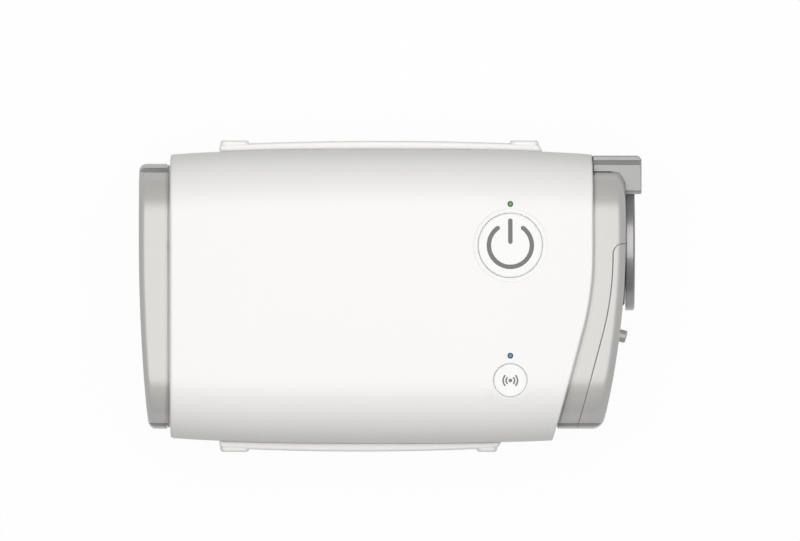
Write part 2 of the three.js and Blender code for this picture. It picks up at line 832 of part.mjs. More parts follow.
function intakeFrame() {
  const right = frameFace + frameDepth;
  let frame = lofted([
    { ring: plugRing(intakePlug, 0), xAt: () => frameFace },
    { ring: plugRing(intakePlug, 0), xAt: () => right },
  ]);
  const windowRing = plugRing(intakePlug, frameRim);
  frame = frame.subtract(lofted([
    { ring: windowRing, xAt: () => frameFace - overrun },
    { ring: windowRing, xAt: () => right + overrun },
  ]));
  const lipRing = plugRing(intakePlug, coverWall + clearance);
  const lipRoom = plugRing(intakePlug, coverWall + clearance + hookThickness);
  const lipFace = filterRight + clearance;
  frame = frame.add(lofted([
    { ring: lipRing, xAt: () => lipFace },
    { ring: lipRing, xAt: () => frameFace + overrun },
  ]).subtract(lofted([
    { ring: lipRoom, xAt: () => lipFace - overrun },
    { ring: lipRoom, xAt: () => frameFace + 2 * overrun },
  ])));
  const barSpan = 2 * (intakePlug.halfWidth - frameRim);
  for (let bar = 1; bar <= frameBarCount; bar++) {
    const y = barSpan * (bar / (frameBarCount + 1) - 1 / 2);
    const reach = intakePlug.halfHeight - frameRim + overrun;
    frame = frame.add(block(
      right - frameBarDepth,
      right,
      y - frameBarWidth / 2,
      y + frameBarWidth / 2,
      midHeight - reach,
      midHeight + reach,
    ));
  }
  return frame.subtract(hookBlock(1, clearance)).subtract(hookBlock(-1, clearance));
}

function intakeFoam() {
  const left = frameFace + frameDepth + clearance;
  const right = blowerX - voluteEnd - foamRearGap;
  const halfWidth = postOffset - wellRadius - foamSideGap;
  const halfHeight = intakePlug.halfHeight - foamTopGap;
  return block(left, right, -halfWidth, halfWidth, midHeight - halfHeight, midHeight + halfHeight)
    .subtract(barrel(foamBoreRadius, left - overrun, right + overrun, 0, midHeight));
}

add('filter_cover', filterCover(), materials.ends);
add('air_filter', airFilter(), materials.filter);
add('intake_frame', intakeFrame(), materials.ends);
add('intake_foam', intakeFoam(), materials.foam);

// Outlet end: the slanted end cap, the port panel with the power socket, the air outlet and its guard

const outletBlock = lofted([
  { ring: plugRing(outletPlug, 0), xAt: (y) => outletEdgeAt(y, -plugDepth) },
  ...rimStations(outletPlug, 0, endFillet, outletFaceAt, 1),
]);
const jackFace = outletFaceAt(jackOffset) - jackSink;

function bezelOutline(grow) {
  const top = bezelTop + grow;
  const corner = bezelCorner + grow;
  const offset = bezelSeam - grow;
  const seam = outletEdgePoints(offset, top - corner, frontReach);
  const arc = [];
  for (let step = 1; step < filletSteps; step++) {
    const angle = step / filletSteps * Math.PI / 2;
    const cornerX = outletEdgeAt(top - corner, offset) + corner;
    arc.push([cornerX - corner * Math.sin(angle), top - corner + corner * Math.cos(angle)]);
  }
  const arcStart = [outletEdgeAt(top - corner, offset) + corner, top];
  return [[outletFace + overrun, top], arcStart, ...arc, ...seam, [outletFace + overrun, frontReach]];
}

function outletEndCap() {
  const hollow = plugRing(outletPlug, capWall);
  const bezelRoom = raised(bezelOutline(clearance), -overrun, bodyHeight + overrun);
  const spigotRoom = spigotRadius + clearance;
  const jackRoom = jackRadius + clearance;
  return outletBlock
    .subtract(bezelRoom)
    .subtract(lofted([
      { ring: hollow, xAt: (y) => outletEdgeAt(y, -plugDepth - overrun) },
      { ring: hollow, xAt: (y) => outletEdgeAt(y, bezelSeam - capWall) },
    ]))
    .subtract(barrel(spigotRoom, shellMiddle, outletFace + overrun, outletOffset, midHeight, fineSides))
    .subtract(barrel(jackRoom, shellMiddle, outletFace, jackOffset, midHeight));
}

function portPanel() {
  const region = raised(bezelOutline(0), -overrun, bodyHeight + overrun);
  const seatRadius = collarRadius - collarSeatInset;
  const seatFace = outletFace - overrun / 4;
  const seatRoot = shellRight + bezelSeam;
  const seat = barrel(seatRadius, seatRoot, seatFace, outletOffset, midHeight, fineSides).intersect(region);
  const keyLength = keyProud + capWall;
  const key = new THREE.CylinderGeometry(keyRadius, keyRadius, keyLength, coarseSides);
  key.translate(0, keyProud - keyLength / 2, 0);
  key.rotateZ(-Math.PI / 2 - slantAngle);
  key.translate(outletFaceAt(keyOffset), keyOffset, midHeight);
  return outletBlock
    .intersect(region)
    .add(seat)
    .add(solid(key))
    .subtract(barrel(spigotRadius + clearance, shellMiddle, bodyLength, outletOffset, midHeight, fineSides))
    .subtract(barrel(jackRadius + clearance, shellMiddle, bodyLength, jackOffset, midHeight));
}

const collarFace = outletFace + collarReach;
const collarBack = outletFace + clearance;
const spigotEnd = collarBack - spigotLength;
const ductEnd = spigotEnd + ductReach;

function outletCollar() {
  const profile = [
    [outletBore, spigotEnd],
    [spigotRadius, spigotEnd],
    [spigotRadius, collarBack],
    [collarRadius, collarBack],
    [collarRadius, collarFace - edgeRound],
    [collarRadius - edgeRound, collarFace],
    [outletBore + edgeRound, collarFace],
    [outletBore, collarFace - edgeRound],
  ];
  return lengthwise(turned(profile, fineSides, true), outletOffset, midHeight);
}

function hoseGuard() {
  const left = shellRight + guardStep;
  const right = bodyLength / 2;
  const back = halfWidthAt(shellRight);
  const front = back - guardDepth;
  const outline = [
    [left, front],
    [right, front],
    [right, back - guardChamfer],
    [right - guardChamfer, back],
    [left, back],
  ];
  const grown = -clearance;
  const around = lofted([
    { ring: plugRing(outletPlug, grown), xAt: () => shellMiddle },
    { ring: plugRing(outletPlug, grown), xAt: (y) => outletFaceAt(y, clearance) },
  ]);
  return raised(outline, midHeight - guardHeight / 2, midHeight + guardHeight / 2)
    .subtract(around)
    .subtract(barrel(collarRadius + clearance, shellMiddle, bodyLength, outletOffset, midHeight, fineSides));
}

function jackBody() {
  const profile = [
    [jackPinRadius + clearance, jackFace - jackLength],
    [jackRadius, jackFace - jackLength],
    [jackRadius, jackFace],
    [jackBore, jackFace],
    [jackBore, jackFace - jackBoreDepth],
    [jackPinRadius + clearance, jackFace - jackBoreDepth],
  ];
  return lengthwise(turned(profile, coarseSides, true), jackOffset, midHeight);
}

const jackPin = barrel(
  jackPinRadius, jackFace - jackLength, jackFace - jackPinSink, jackOffset, midHeight, smallSides,
);

add('outlet_end_cap', outletEndCap(), materials.ends);
add('port_panel', portPanel(), materials.ends);
add('outlet_collar', outletCollar(), materials.collar);
add('hose_guard', hoseGuard(), materials.ends);
add('power_socket', jackBody(), materials.inner);
add('power_socket_pin', jackPin, materials.steel);

// Outlet duct: from the volute's neck through a ribbed sleeve to a seal inside the collar

const neckEnd = blowerX + channelLength + neckLength;
const ductStart = neckEnd + clearance;

function bellows() {
  const inner = neckRadius + clearance;
  const outer = inner + bellowsWall;
  const left = neckEnd - bellowsOverlap;
  const right = ductStart + bellowsOverlap;
  const pitch = (right - left) / bellowsFolds;
  const profile = [[inner, left], [outer, left]];
  for (let rib = 1; rib < bellowsFolds; rib++) {
    const bulge = rib % 2 === 1 ? bellowsRib : 0;
    profile.push([outer + bulge, left + rib * pitch]);
  }
  profile.push([outer, right], [inner, right]);
  return lengthwise(turned(profile, coarseSides, true), outletOffset, midHeight);
}

// The duct carries the tap that the pressure sensor breathes through
const tapX = ductStart + bellowsOverlap + tapRun;
const tapLow = midHeight + neckRadius - neckWall / 2;
const tap = rod(sensorTubeRadius, tapLow, sensorLow - clearance, tapX, outletOffset, smallSides);
const outletDuct = sleeve(ductBore, neckRadius, ductStart, ductEnd, outletOffset, midHeight).add(tap);
const outletSeal = sleeve(
  neckRadius + clearance, outletBore - clearance, ductEnd - sealWidth, ductEnd, outletOffset, midHeight,
);

add('outlet_bellows', bellows(), materials.silicone);
add('outlet_duct', outletDuct, materials.inner);
add('outlet_seal', outletSeal, materials.silicone);

// Blower

// The volute's plan: a spiral from the tongue round to the back, then a straight channel to the outlet
function voluteOutline(inset) {
  const start = voluteStart - inset;
  const end = voluteEnd - inset;
  const low = voluteEnd - 2 * neckRadius + inset;
  const tongue = Math.asin(low / start);
  const sweep = tongue + 3 * Math.PI / 2;
  const steps = 4 * curveSteps;
  const points = [];
  for (let step = 0; step <= steps; step++) {
    const angle = tongue - sweep * step / steps;
    const radius = start + (end - start) * step / steps;
    points.push([blowerX + radius * Math.cos(angle), blowerY + radius * Math.sin(angle)]);
  }
  const channelEnd = blowerX + channelLength + (inset > 0 ? overrun - voluteWall : 0);
  points.push([channelEnd, blowerY + end], [channelEnd, blowerY + low]);
  return points;
}

const shaftHole = shaftRadius + 2 * clearance;
const bearingSeat = bearingRadius + clearance;
const upperBearingLow = voluteFloor - bearingHeight - clearance;
const motorCapLow = motorLow - motorCapThickness;
const lowerBearingLow = motorCapLow + bearingLip + clearance;
const lowerBearingTop = lowerBearingLow + bearingHeight;

function volute() {
  const seatWall = bearingSeat + motorWall;
  const inFloor = voluteFloor + voluteWall / 2;
  const neckBore = neckRadius - neckWall;
  const neckStart = blowerX + channelLength;
  let body = raised(voluteOutline(0), voluteFloor, voluteRoof);
  body = body
    .add(barrel(neckRadius, neckStart - overrun, neckEnd, outletOffset, midHeight))
    .subtract(raised(voluteOutline(voluteWall), voluteFloor + voluteWall, voluteRoof - voluteWall))
    .subtract(barrel(neckBore, neckStart - 2 * voluteWall, neckEnd + overrun, outletOffset, midHeight))
    .subtract(rod(eyeRadius, midHeight, voluteRoof + overrun, blowerX, blowerY))
    .add(ring(motorRadius - motorWall, motorRadius, motorLow, inFloor, blowerX, blowerY))
    .add(rod(seatWall, upperBearingLow, inFloor, blowerX, blowerY))
    .subtract(rod(bearingSeat, upperBearingLow - overrun, voluteFloor, blowerX, blowerY))
    .subtract(rod(shaftHole, voluteFloor - overrun, midHeight, blowerX, blowerY));
  for (const { x, y, angle } of legPlaces) {
    const root = motorRadius - motorWall;
    const ear = new THREE.BoxGeometry(legCircle - root, 2 * legRadius, inFloor - voluteFloor);
    ear.translate((legCircle + root) / 2, 0, (voluteFloor + inFloor) / 2);
    ear.rotateZ(angle);
    ear.translate(blowerX, blowerY, 0);
    body = body.add(solid(ear)).add(rod(legRadius, legLow, inFloor, x, y, smallSides));
  }
  return body;
}

const voluteReach = voluteEnd + neckLength + channelLength;
const voluteSlab = (low, high) => block(
  blowerX - voluteReach, blowerX + voluteReach, blowerY - voluteReach, blowerY + voluteReach, low, high,
);
const wholeVolute = volute();

function motorCap() {
  return rod(motorRadius, motorCapLow, motorLow - clearance, blowerX, blowerY)
    .subtract(ring(bearingSeat + motorWall, motorRadius - motorWall, motorCapLow + bearingLip, motorLow,
      blowerX, blowerY))
    .subtract(rod(bearingSeat, motorCapLow + bearingLip, motorLow, blowerX, blowerY))
    .subtract(rod(shaftHole, motorCapLow - overrun, motorLow, blowerX, blowerY));
}

const statorLow = motorLow + clearance;
const statorTop = upperBearingLow - clearance;

function stator() {
  const outer = motorRadius - motorWall - clearance;
  let core = ring(outer - statorYoke, outer, statorLow, statorTop, blowerX, blowerY);
  const bore = rod(statorBore, statorLow - overrun, statorTop + overrun, blowerX, blowerY);
  for (let tooth = 0; tooth < statorTeeth; tooth++) {
    const bar = new THREE.BoxGeometry(outer - statorYoke / 2, statorToothWidth, statorTop - statorLow);
    bar.translate((outer - statorYoke / 2) / 2, 0, (statorTop + statorLow) / 2);
    bar.rotateZ(tooth / statorTeeth * 2 * Math.PI);
    bar.translate(blowerX, blowerY, 0);
    core = core.add(solid(bar).subtract(bore));
  }
  return core;
}

const impellerLow = voluteFloor + voluteWall + impellerLift;
const bladeRoom = voluteRoof - voluteWall - impellerLow - impellerPlate;
const impellerHubTop = impellerLow + impellerPlate + bladeHubShare * bladeRoom;
const shaftTip = impellerHubTop - shaftSink;

function impeller() {
  const hub = shaftRadius + clearance;
  const profile = [
    [hub, impellerLow],
    [impellerRadius, impellerLow],
    [impellerRadius, impellerLow + impellerPlate],
    [impellerHubRadius, impellerLow + impellerPlate],
    [impellerHubRadius, impellerHubTop],
    [hub, impellerHubTop],
  ];
  let wheel = upright(turned(profile, coarseSides, true), blowerX, blowerY);
  const bladeLow = impellerLow + impellerPlate / 2;
  const bladeTip = impellerLow + impellerPlate + bladeTipShare * bladeRoom;
  const cone = upright(
    turned(
      [
        [impellerHubRadius - shaftRadius, bladeLow],
        [impellerRadius, bladeLow],
        [impellerRadius, bladeTip],
        [impellerHubRadius - shaftRadius, impellerHubTop],
      ],
      coarseSides,
      true,
    ),
    blowerX,
    blowerY,
  );
  const bladeShape = [];
  const bladeRoot = impellerHubRadius - shaftRadius / 2;
  for (const side of [-1, 1]) {
    for (let step = 0; step <= bladeSteps; step++) {
      const share = side < 0 ? step / bladeSteps : 1 - step / bladeSteps;
      const radius = bladeRoot + (impellerRadius + overrun - impellerHubRadius) * share;
      const angle = -share * bladeSweep;
      const x = radius * Math.cos(angle) - side * bladeThickness / 2 * Math.sin(angle);
      const y = radius * Math.sin(angle) + side * bladeThickness / 2 * Math.cos(angle);
      bladeShape.push([x, y]);
    }
  }
  for (let blade = 0; blade < bladeCount; blade++) {
    const geometry = new THREE.ExtrudeGeometry(shapeOf(bladeShape), {
      depth: impellerHubTop - bladeLow,
      bevelEnabled: false,
    });
    geometry.rotateZ(blade / bladeCount * 2 * Math.PI);
    geometry.translate(blowerX, blowerY, bladeLow);
    wheel = wheel.add(solid(geometry).intersect(cone));
  }
  return wheel;
}

function blowerMount({ x, y }) {
  const low = bossTopAt(x) + clearance;
  const high = legLow - clearance;
  const middle = (low + high) / 2;
  const profile = [[0, low], [legRadius, low], [mountWaist, middle], [legRadius, high], [0, high]];
  return upright(turned(profile, smallSides), x, y);
}

add('volute_lower', wholeVolute.intersect(voluteSlab(0, seamLow)), materials.inner);
add('volute_upper', wholeVolute.intersect(voluteSlab(seamTop, bodyHeight)), materials.inner);
add('motor_cap', motorCap(), materials.inner);
add('motor_stator', stator(), materials.copper);
add('impeller', impeller(), materials.filter);
add('rotor_shaft', rod(shaftRadius, lowerBearingLow, shaftTip, blowerX, blowerY), materials.steel);
add(
  'rotor_magnet',
  ring(shaftRadius + clearance, magnetRadius, lowerBearingTop + clearance, statorTop, blowerX, blowerY),
  materials.chip,
);
for (const [name, low] of [['bearing_lower', lowerBearingLow], ['bearing_upper', upperBearingLow]]) {
  const race = ring(shaftRadius + runningFit, bearingRadius, low, low + bearingHeight, blowerX, blowerY);
  add(name, race, materials.steel);
}
legPlaces.forEach((place, index) => {
  add(`blower_mount_${index + 1}`, blowerMount(place), materials.silicone);
});

// Circuit board and what stands on it

function circuitBoard() {
  let board = raised(
    roundedOutline(boardLeft, boardRight, -boardHalfWidth, boardHalfWidth, boardThickness),
    boardLow,
    boardTop,
  );
  for (const { x, y } of boardScrews) {
    const hole = boardScrewShank + clearance;
    board = board.subtract(rod(hole, boardLow - overrun, boardTop + overrun, x, y, smallSides));
  }
  return board;
}

const onBoard = boardTop + clearance;
const underBoard = boardLow - clearance;
const partRowX = boardLeft + partRowShare * (controlsX - powerRadius - buttonFlangeWidth - boardLeft);
const partPitch = boardHalfWidth - partSideInset;

function boardScrew({ x, y }) {
  const low = underBoard - boardScrewHeadHeight;
  const tip = underBoard + boardScrewLength;
  return rod(boardScrewHead, low, underBoard, x, y, smallSides)
    .add(rod(boardScrewShank, low + boardScrewHeadHeight / 2, tip, x, y, smallSides));
}

function boxAt(x, y, length, width, low, high) {
  return block(x - length / 2, x + length / 2, y - width / 2, y + width / 2, low, high);
}

add('circuit_board', circuitBoard(), materials.board);
boardScrews.forEach((place, index) => {
  add(`board_screw_${index + 1}`, boardScrew(place), materials.steel);
});
add('processor_chip', boxAt(partRowX, 0, chipSize, chipSize, onBoard, onBoard + chipHeight), materials.chip);
add(
  'radio_module',
  boxAt(partRowX, -partPitch, radioLength, radioWidth, onBoard, onBoard + radioHeight),
  materials.steel,
);
add(
  'power_inductor',
  rod(inductorRadius, onBoard, onBoard + inductorHeight, partRowX, partPitch),
  materials.chip,
);
add(
  'pressure_sensor',
  boxAt(tapX, outletOffset, sensorSize, sensorSize, sensorLow, underBoard),
  materials.chip,
);

// A wire lead along a smooth curve
function lead(points) {
  const curve = new THREE.CatmullRomCurve3(points.map(([x, y, z]) => new THREE.Vector3(x, y, z)));
  const section = new THREE.Shape();
  section.absarc(0, 0, leadRadius, 0, 2 * Math.PI);
  const geometry = new THREE.ExtrudeGeometry(section, {
    extrudePath: curve,
    steps: curveSteps,
    curveSegments: filletSteps,
    bevelEnabled: false,
  });
  return solid(geometry);
}

const jackTail = jackFace - jackLength - clearance;
const powerLeadX = boardRight - 2 * jackRadius;
const leadEndY = leadInset - boardHalfWidth;
const powerLead = lead([
  [jackTail, jackOffset, midHeight],
  [jackTail - 2 * leadRadius, jackOffset, midHeight],
  [powerLeadX, leadEndY, (midHeight + underBoard) / 2],
  [powerLeadX, leadEndY, underBoard],
]);
const voluteFront = blowerY - voluteEnd - 2 * leadRadius;
const motorLead = lead([
  [blowerX, blowerY - motorRadius - clearance, (motorLow + voluteFloor) / 2],
  [blowerX, (voluteFront + blowerY - motorRadius) / 2, (motorLow + voluteFloor) / 2],
  [(blowerX + partRowX) / 2, voluteFront, midHeight],
  [partRowX, leadEndY, underBoard - 2 * leadRadius],
  [partRowX, leadEndY, underBoard],
]);
add('power_lead', powerLead, materials.chip);
add('motor_lead', motorLead, materials.chip);

// Buttons, their switches and their lights

function button({ y, radius, switchSize }) {
  const top = crownAt(controlsX) - edgeDrop(controlsX, y) - buttonSink;
  const plateLow = top - buttonPlate;
  const roofLow = crownAt(controlsX) - wall - edgeDrop(controlsX, Math.abs(y) + radius + buttonFlangeWidth);
  const flangeTop = roofLow - clearance;
  const flangeLow = flangeTop - buttonFlangeThickness;
  const stemTop = onBoard + switchHeight + stemRise;
  const bossRadius = switchSize * stemShare + clearance;
  const profile = [
    [0, stemTop + clearance],
    [bossRadius, stemTop + clearance],
    [bossRadius, plateLow],
    [radius - buttonSkirtWall, plateLow],
    [radius - buttonSkirtWall, flangeLow],
    [radius + buttonFlangeWidth, flangeLow],
    [radius + buttonFlangeWidth, flangeTop],
    [radius, flangeTop],
    [radius, top],
    [0, top],
  ];
  return { body: upright(turned(profile, fineSides), controlsX, y), plateLow, bossRadius };
}

function dome({ y, radius, switchSize }, plateLow, bossRadius) {
  const inner = switchSize / Math.SQRT2 + clearance;
  const shoulder = onBoard + switchHeight + domeShoulder;
  const neck = bossRadius + clearance;
  const top = plateLow - clearance;
  const profile = [
    [inner, onBoard],
    [inner + domeWall, onBoard],
    [inner + domeWall, shoulder],
    [neck + domeWall, shoulder + domeWall],
    [neck + domeWall, top],
    [neck, top],
    [neck, shoulder + domeWall / 2],
    [inner, shoulder - domeWall / 2],
  ];
  return upright(turned(profile, coarseSides, true), controlsX, y);
}

for (const [name, control] of Object.entries(controls)) {
  const { y, switchSize, lightOffset, light } = control;
  const { body, plateLow, bossRadius } = button(control);
  const stem = switchSize * stemShare;
  const switchTop = onBoard + switchHeight;
  const stemLow = switchTop - buttonTravel - 2 * clearance;
  const roomLow = stemLow - buttonTravel - clearance;
  const stemRoom = rod(stem + clearance, roomLow, switchTop + overrun, controlsX, y, smallSides);
  add(`${name}_button`, body, materials.button);
  add(`${name}_dome`, dome(control, plateLow, bossRadius), materials.silicone);
  add(
    `${name}_switch`,
    boxAt(controlsX, y, switchSize, switchSize, onBoard, switchTop).subtract(stemRoom),
    materials.chip,
  );
  const stemTop = switchTop + stemRise;
  add(`${name}_switch_stem`, rod(stem, stemLow, stemTop, controlsX, y, smallSides), materials.inner);
  const pipeTop = crownAt(controlsX) - edgeDrop(controlsX, lightOffset);
  const ledTop = onBoard + ledHeight;
  add(`${name}_led`, rod(ledRadius, onBoard, ledTop, controlsX, lightOffset, smallSides), light);
  add(
    `${name}_light_pipe`,
    rod(lightPipeRadius, ledTop + clearance, pipeTop, controlsX, lightOffset, smallSides),
    light,
  );
}

export default machine;
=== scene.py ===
"""A travel CPAP machine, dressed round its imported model: a small bedside blower in a white case, in metres.

X runs from the intake end to the air outlet, Y from the front to the back, and Z up out of the buttons.
"""

import json
import math

import bmesh
import bpy
from mathutils import Matrix, Vector


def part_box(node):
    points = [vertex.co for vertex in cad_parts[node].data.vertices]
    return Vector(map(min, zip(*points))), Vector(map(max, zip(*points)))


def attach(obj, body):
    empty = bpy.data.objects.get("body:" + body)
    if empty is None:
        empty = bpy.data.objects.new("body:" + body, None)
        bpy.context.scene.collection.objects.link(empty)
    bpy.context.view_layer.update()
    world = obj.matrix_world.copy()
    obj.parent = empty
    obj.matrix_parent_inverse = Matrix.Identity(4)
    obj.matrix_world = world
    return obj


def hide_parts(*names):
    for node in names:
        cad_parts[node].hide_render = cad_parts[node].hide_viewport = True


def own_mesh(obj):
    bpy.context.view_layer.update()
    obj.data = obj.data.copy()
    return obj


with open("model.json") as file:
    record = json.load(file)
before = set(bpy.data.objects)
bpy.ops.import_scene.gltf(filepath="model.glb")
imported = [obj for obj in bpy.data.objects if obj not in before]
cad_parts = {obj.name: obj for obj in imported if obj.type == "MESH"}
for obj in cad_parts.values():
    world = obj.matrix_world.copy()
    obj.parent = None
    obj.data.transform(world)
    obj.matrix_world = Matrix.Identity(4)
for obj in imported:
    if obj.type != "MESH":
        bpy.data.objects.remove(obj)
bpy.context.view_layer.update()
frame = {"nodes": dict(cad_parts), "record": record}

MM = 0.001

# Tolerances, and the overrun of cutters
speck = 0.001 * MM
hair = 0.01 * MM
overrun = 2.2 * MM
sharp_angle = math.radians(38)
edge_angle = math.radians(40)

# How finely skins and round pieces are cut, and in how many rounds a point of a skin is found
crowded_share = 0.025
end_steps = 10
fillet_steps = 8
cover_steps = 5
edge_rounds = 5
face_rounds = 4
dot_sides = 24
pin_sides = 32
stud_sides = 40
fitting_sides = 48
foot_sides = 56
bore_sides = 64
seal_sides = 72
ring_sides = 96
collar_sides = 128

# Case, read from the frame
case_low, case_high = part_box("upper_case")
base_low, base_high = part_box("lower_case")
shell_left = case_low.x
shell_right = case_high.x
shell_middle = (shell_left + shell_right) / 2
shell_half_length = (shell_right - shell_left) / 2
shell_half_width = case_high.y
shell_half_height = (case_high.z - base_low.z) / 2
mid_height = (case_high.z + base_low.z) / 2
seam_top = case_low.z
seam_low = base_high.z
shell_corner = 17.8 * MM
side_bow = 1.4 * MM
crown_bow = 0.8 * MM
wall = 2.2 * MM
slant_start = shell_half_width - 28.3 * MM
slant_radius = 80 * MM
slant_angle = math.radians(15)
outlet_draw = 0.3 * MM
intake_lip = 0.8 * MM
outlet_lip = 0.55 * MM
seam_edge = 0.3 * MM
button_edge = 0.32 * MM
case_stations = 84

# Case screws and feet
places = ("intake_back", "intake_front", "outlet_back", "outlet_front")
well_radius = 2.6 * MM
well_wall = 1.1 * MM
well_depth = 2.1 * MM
screw_head = 1.9 * MM
screw_shank = 1.2 * MM
screw_edge = 0.5 * MM
recess_length = 1.3 * MM
recess_half = 0.3 * MM
recess_depth = 1 * MM
foot_room = 0.3 * MM
foot_edge = 0.5 * MM
foot_groove = 0.25 * MM
foot_rib_shares = (0.25, 0.5, 0.72)

# Side rails
rail_gap = 0.04 * MM
rail_rake_left = 0.4 * MM
rail_rake_right = 1.2 * MM
rail_crown = 42.1 * MM
rail_bow = 1 * MM
rail_edge = 0.7 * MM
rail_steps = 40
pad_length = 7.8 * MM
short_pad_length = 5.6 * MM
pad_proud = 0.1 * MM
pad_thickness = 1.4 * MM
pad_half_height = 6.3 * MM
pad_corner = 1.6 * MM
pad_edge = 0.75 * MM

# Both grey ends, read from the frame
cap_low, cap_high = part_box("outlet_end_cap")
plug_half_width = cap_high.y
plug_half_height = (cap_high.z - cap_low.z) / 2
plug_corner = 15.3 * MM
slot_near = 33.65 * MM
slot_far = 34.75 * MM
slot_floor = 38.3 * MM
ledge_edge = -34.3 * MM
ledge_floor = 37.8 * MM

# Intake end
cover_low, cover_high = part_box("filter_cover")
cover_face = cover_low.x
cover_rim = shell_left - 0.5 * MM
cover_wall = 1.8 * MM
cover_fillet = 1.9 * MM
cover_flat_start = 15 * MM
cover_bow = 2.6 * MM
cover_line = 0.6 * MM
cover_line_depth = 0.35 * MM
cover_edge = 0.08 * MM
vent_count = 13
vent_pitch = 3.6 * MM
vent_half = 0.7 * MM
vent_corner = 0.66 * MM
vent_near = 1.2 * MM
vent_far = 12 * MM
vent_margin = 1 * MM
hook_gap = 0.3 * MM
hook_thickness = 1.2 * MM
hook_half_width = 4 * MM
hook_reach = 2.6 * MM
hook_root_near = 0.05 * MM
hook_root_far = 0.9 * MM
hook_root_sink = 1 * MM
hook_height = plug_half_height - cover_wall - hook_gap - hook_thickness
frame_rim = 5 * MM
frame_lip_outer = 2.1 * MM
frame_lip_inner = 3.3 * MM
frame_shoulder = 0.35 * MM
frame_grip = 0.2 * MM
frame_edge = 0.15 * MM
frame_clearance = 0.05 * MM
bar_count = 5
bar_half = 0.8 * MM
bar_thickness = 1.5 * MM
bar_sink = 0.4 * MM
pad_softness = 0.7 * MM
pad_edge_shares = ((1, 0), (0.3, 0.4), (0, 3))

# Outlet end
panel_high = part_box("port_panel")[1]
collar_low, collar_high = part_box("outlet_collar")
guard_low, guard_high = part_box("hose_guard")
collar_radius = (collar_high.y - collar_low.y) / 2
outlet_y = (collar_low.y + collar_high.y) / 2
outlet_face = shell_right + 8.7 * MM
face_radius = 230 * MM
face_middle = outlet_y + 3.7 * MM
end_fillet = 2.6 * MM
end_wall = 2 * MM
plug_depth = 4 * MM
case_line = 0.5 * MM
case_line_depth = 0.45 * MM
panel_seam = 5.5 * MM
panel_top = panel_high.y + 0.9 * MM
panel_corner = 2.7 * MM
panel_gap = 0.07 * MM
panel_edge = 0.15 * MM
cap_bend_run = 1.1 * MM
cap_seam_top = panel_top + panel_gap
cap_seam_corner = panel_corner + panel_gap
seam_bend_shares = (1, 0.8, 0.6, 0.4, 0.22, 0.09, 0, -0.01)
spigot_room = 12.8 * MM
socket_room = 4.3 * MM
seat_outer = 16.9 * MM
seat_inner = 12.9 * MM
seat_sink = 0.25 * MM
seat_depth = 3 * MM
seat_edge = 0.4 * MM
stud_y = -10.6 * MM
stud_radius = 1.7 * MM
stud_proud = 2.1 * MM
stud_root = 2 * MM
stud_edge = 0.4 * MM
spigot_radius = 12.5 * MM
collar_bore = 11 * MM
collar_track = 14.6 * MM
collar_groove = 0.35 * MM
collar_edge = 0.6 * MM
collar_lift = 0.03 * MM
collar_back_edge = 0.15 * MM
seal_thickness = 1.4 * MM
seal_lip = 0.35 * MM
guard_step = 0.1 * MM
guard_inset = 0.3 * MM
guard_chamfer = 0.9 * MM
guard_edge = 0.35 * MM
guard_fall = 1 * MM
guard_clearance = 0.08 * MM
guard_slot_near = 35.6 * MM
guard_slot_far = 36.9 * MM
guard_slot_depth = 1.8 * MM
guard_room_steps = 24
socket_bore = 2.75 * MM
socket_floor = 9 * MM
socket_pin_hole = 1.2 * MM
socket_edge = 0.3 * MM

# Controls, read from the frame: the rings lead from the case's grid down to the edge of each button's hole
controls = {
    "power": {
        "radius": 8.7 * MM,
        "neck": 2.22 * MM,
        "rings": [step * MM for step in (2.3, 1.5, 1.4, 1.3, 1.15, 1, 0.9, 0.5, 0)],
        "lamp": "green_light",
    },
    "pairing": {
        "radius": 4.5 * MM,
        "neck": 1.57 * MM,
        "rings": [step * MM for step in (1.6, 1, 0.45, 0)],
        "lamp": "blue_light",
    },
}
controls_x = sum(corner.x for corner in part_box("power_button")) / 2
button_gap = 0.07 * MM
button_patch_margin = 0.6 * MM
dish_reach = 1.4 * MM
dish_depth = 0.16 * MM
dish_slope = 0.5 * MM
light_hole = 0.8 * MM
light_edge = 0.25 * MM
keycap_edge = 0.45 * MM
keycap_hollow = 0.1 * MM
keycap_plate = 1.8 * MM
keycap_skirt = 1.1 * MM
flange_width = 1.2 * MM
flange_low = 0.6 * MM
flange_high = 1.8 * MM
crown_shares = (0.9, 0.75, 0.5, 0.25, 0)
boss_gap = 0.3 * MM
mark_depth = 0.3 * MM
mark_rise = 0.035 * MM
dome_wall = 0.8 * MM
dome_shoulder = 3.6 * MM
dome_edge = 0.15 * MM

# Marks on the keycaps
power_stroke = 1.2 * MM
power_ring = 5.8 * MM
power_ring_start = 126
power_ring_end = 414
power_ring_steps = 72
power_bar_steps = 12
power_bar_foot = 0.38 * MM
power_bar_head = 7.27 * MM
pairing_stroke = 0.42 * MM
pairing_dot = 0.5 * MM
pairing_waves = (1.15 * MM, 1.95 * MM)
pairing_wave_half = 42
pairing_wave_steps = 16
stroke_end_steps = 8

# Floor, light and camera
floor_reach = 3
floor_tone = 186
floor_glow = 0.92
floor_white = 1.04
room_strength = 0.2
lamp_height = 0.9
lamp_y = 0.095
lamp_width = 1.0
lamp_depth = 0.95
lamp_power = 7.75
photo_width = 800
photo_scale = 0.2705 * MM
photo_tilt = math.radians(0.4)
photo_sharp_height = 44 * MM
photo_centre_x = 2.63 * MM
photo_centre_y = 7.06 * MM
camera_lens = 900
camera_sensor = 36
camera_reach = 20


# Mesh helpers

def add_object(name, data):
    made = bpy.data.objects.new(name, data)
    bpy.context.scene.collection.objects.link(made)
    return made


def mesh_object(bm, name, material=None):
    """Turns a finished bmesh into an object at the origin."""
    mesh = bpy.data.meshes.new(name)
    bm.to_mesh(mesh)
    bm.free()
    if material:
        mesh.materials.append(material)
    return add_object(name, mesh)


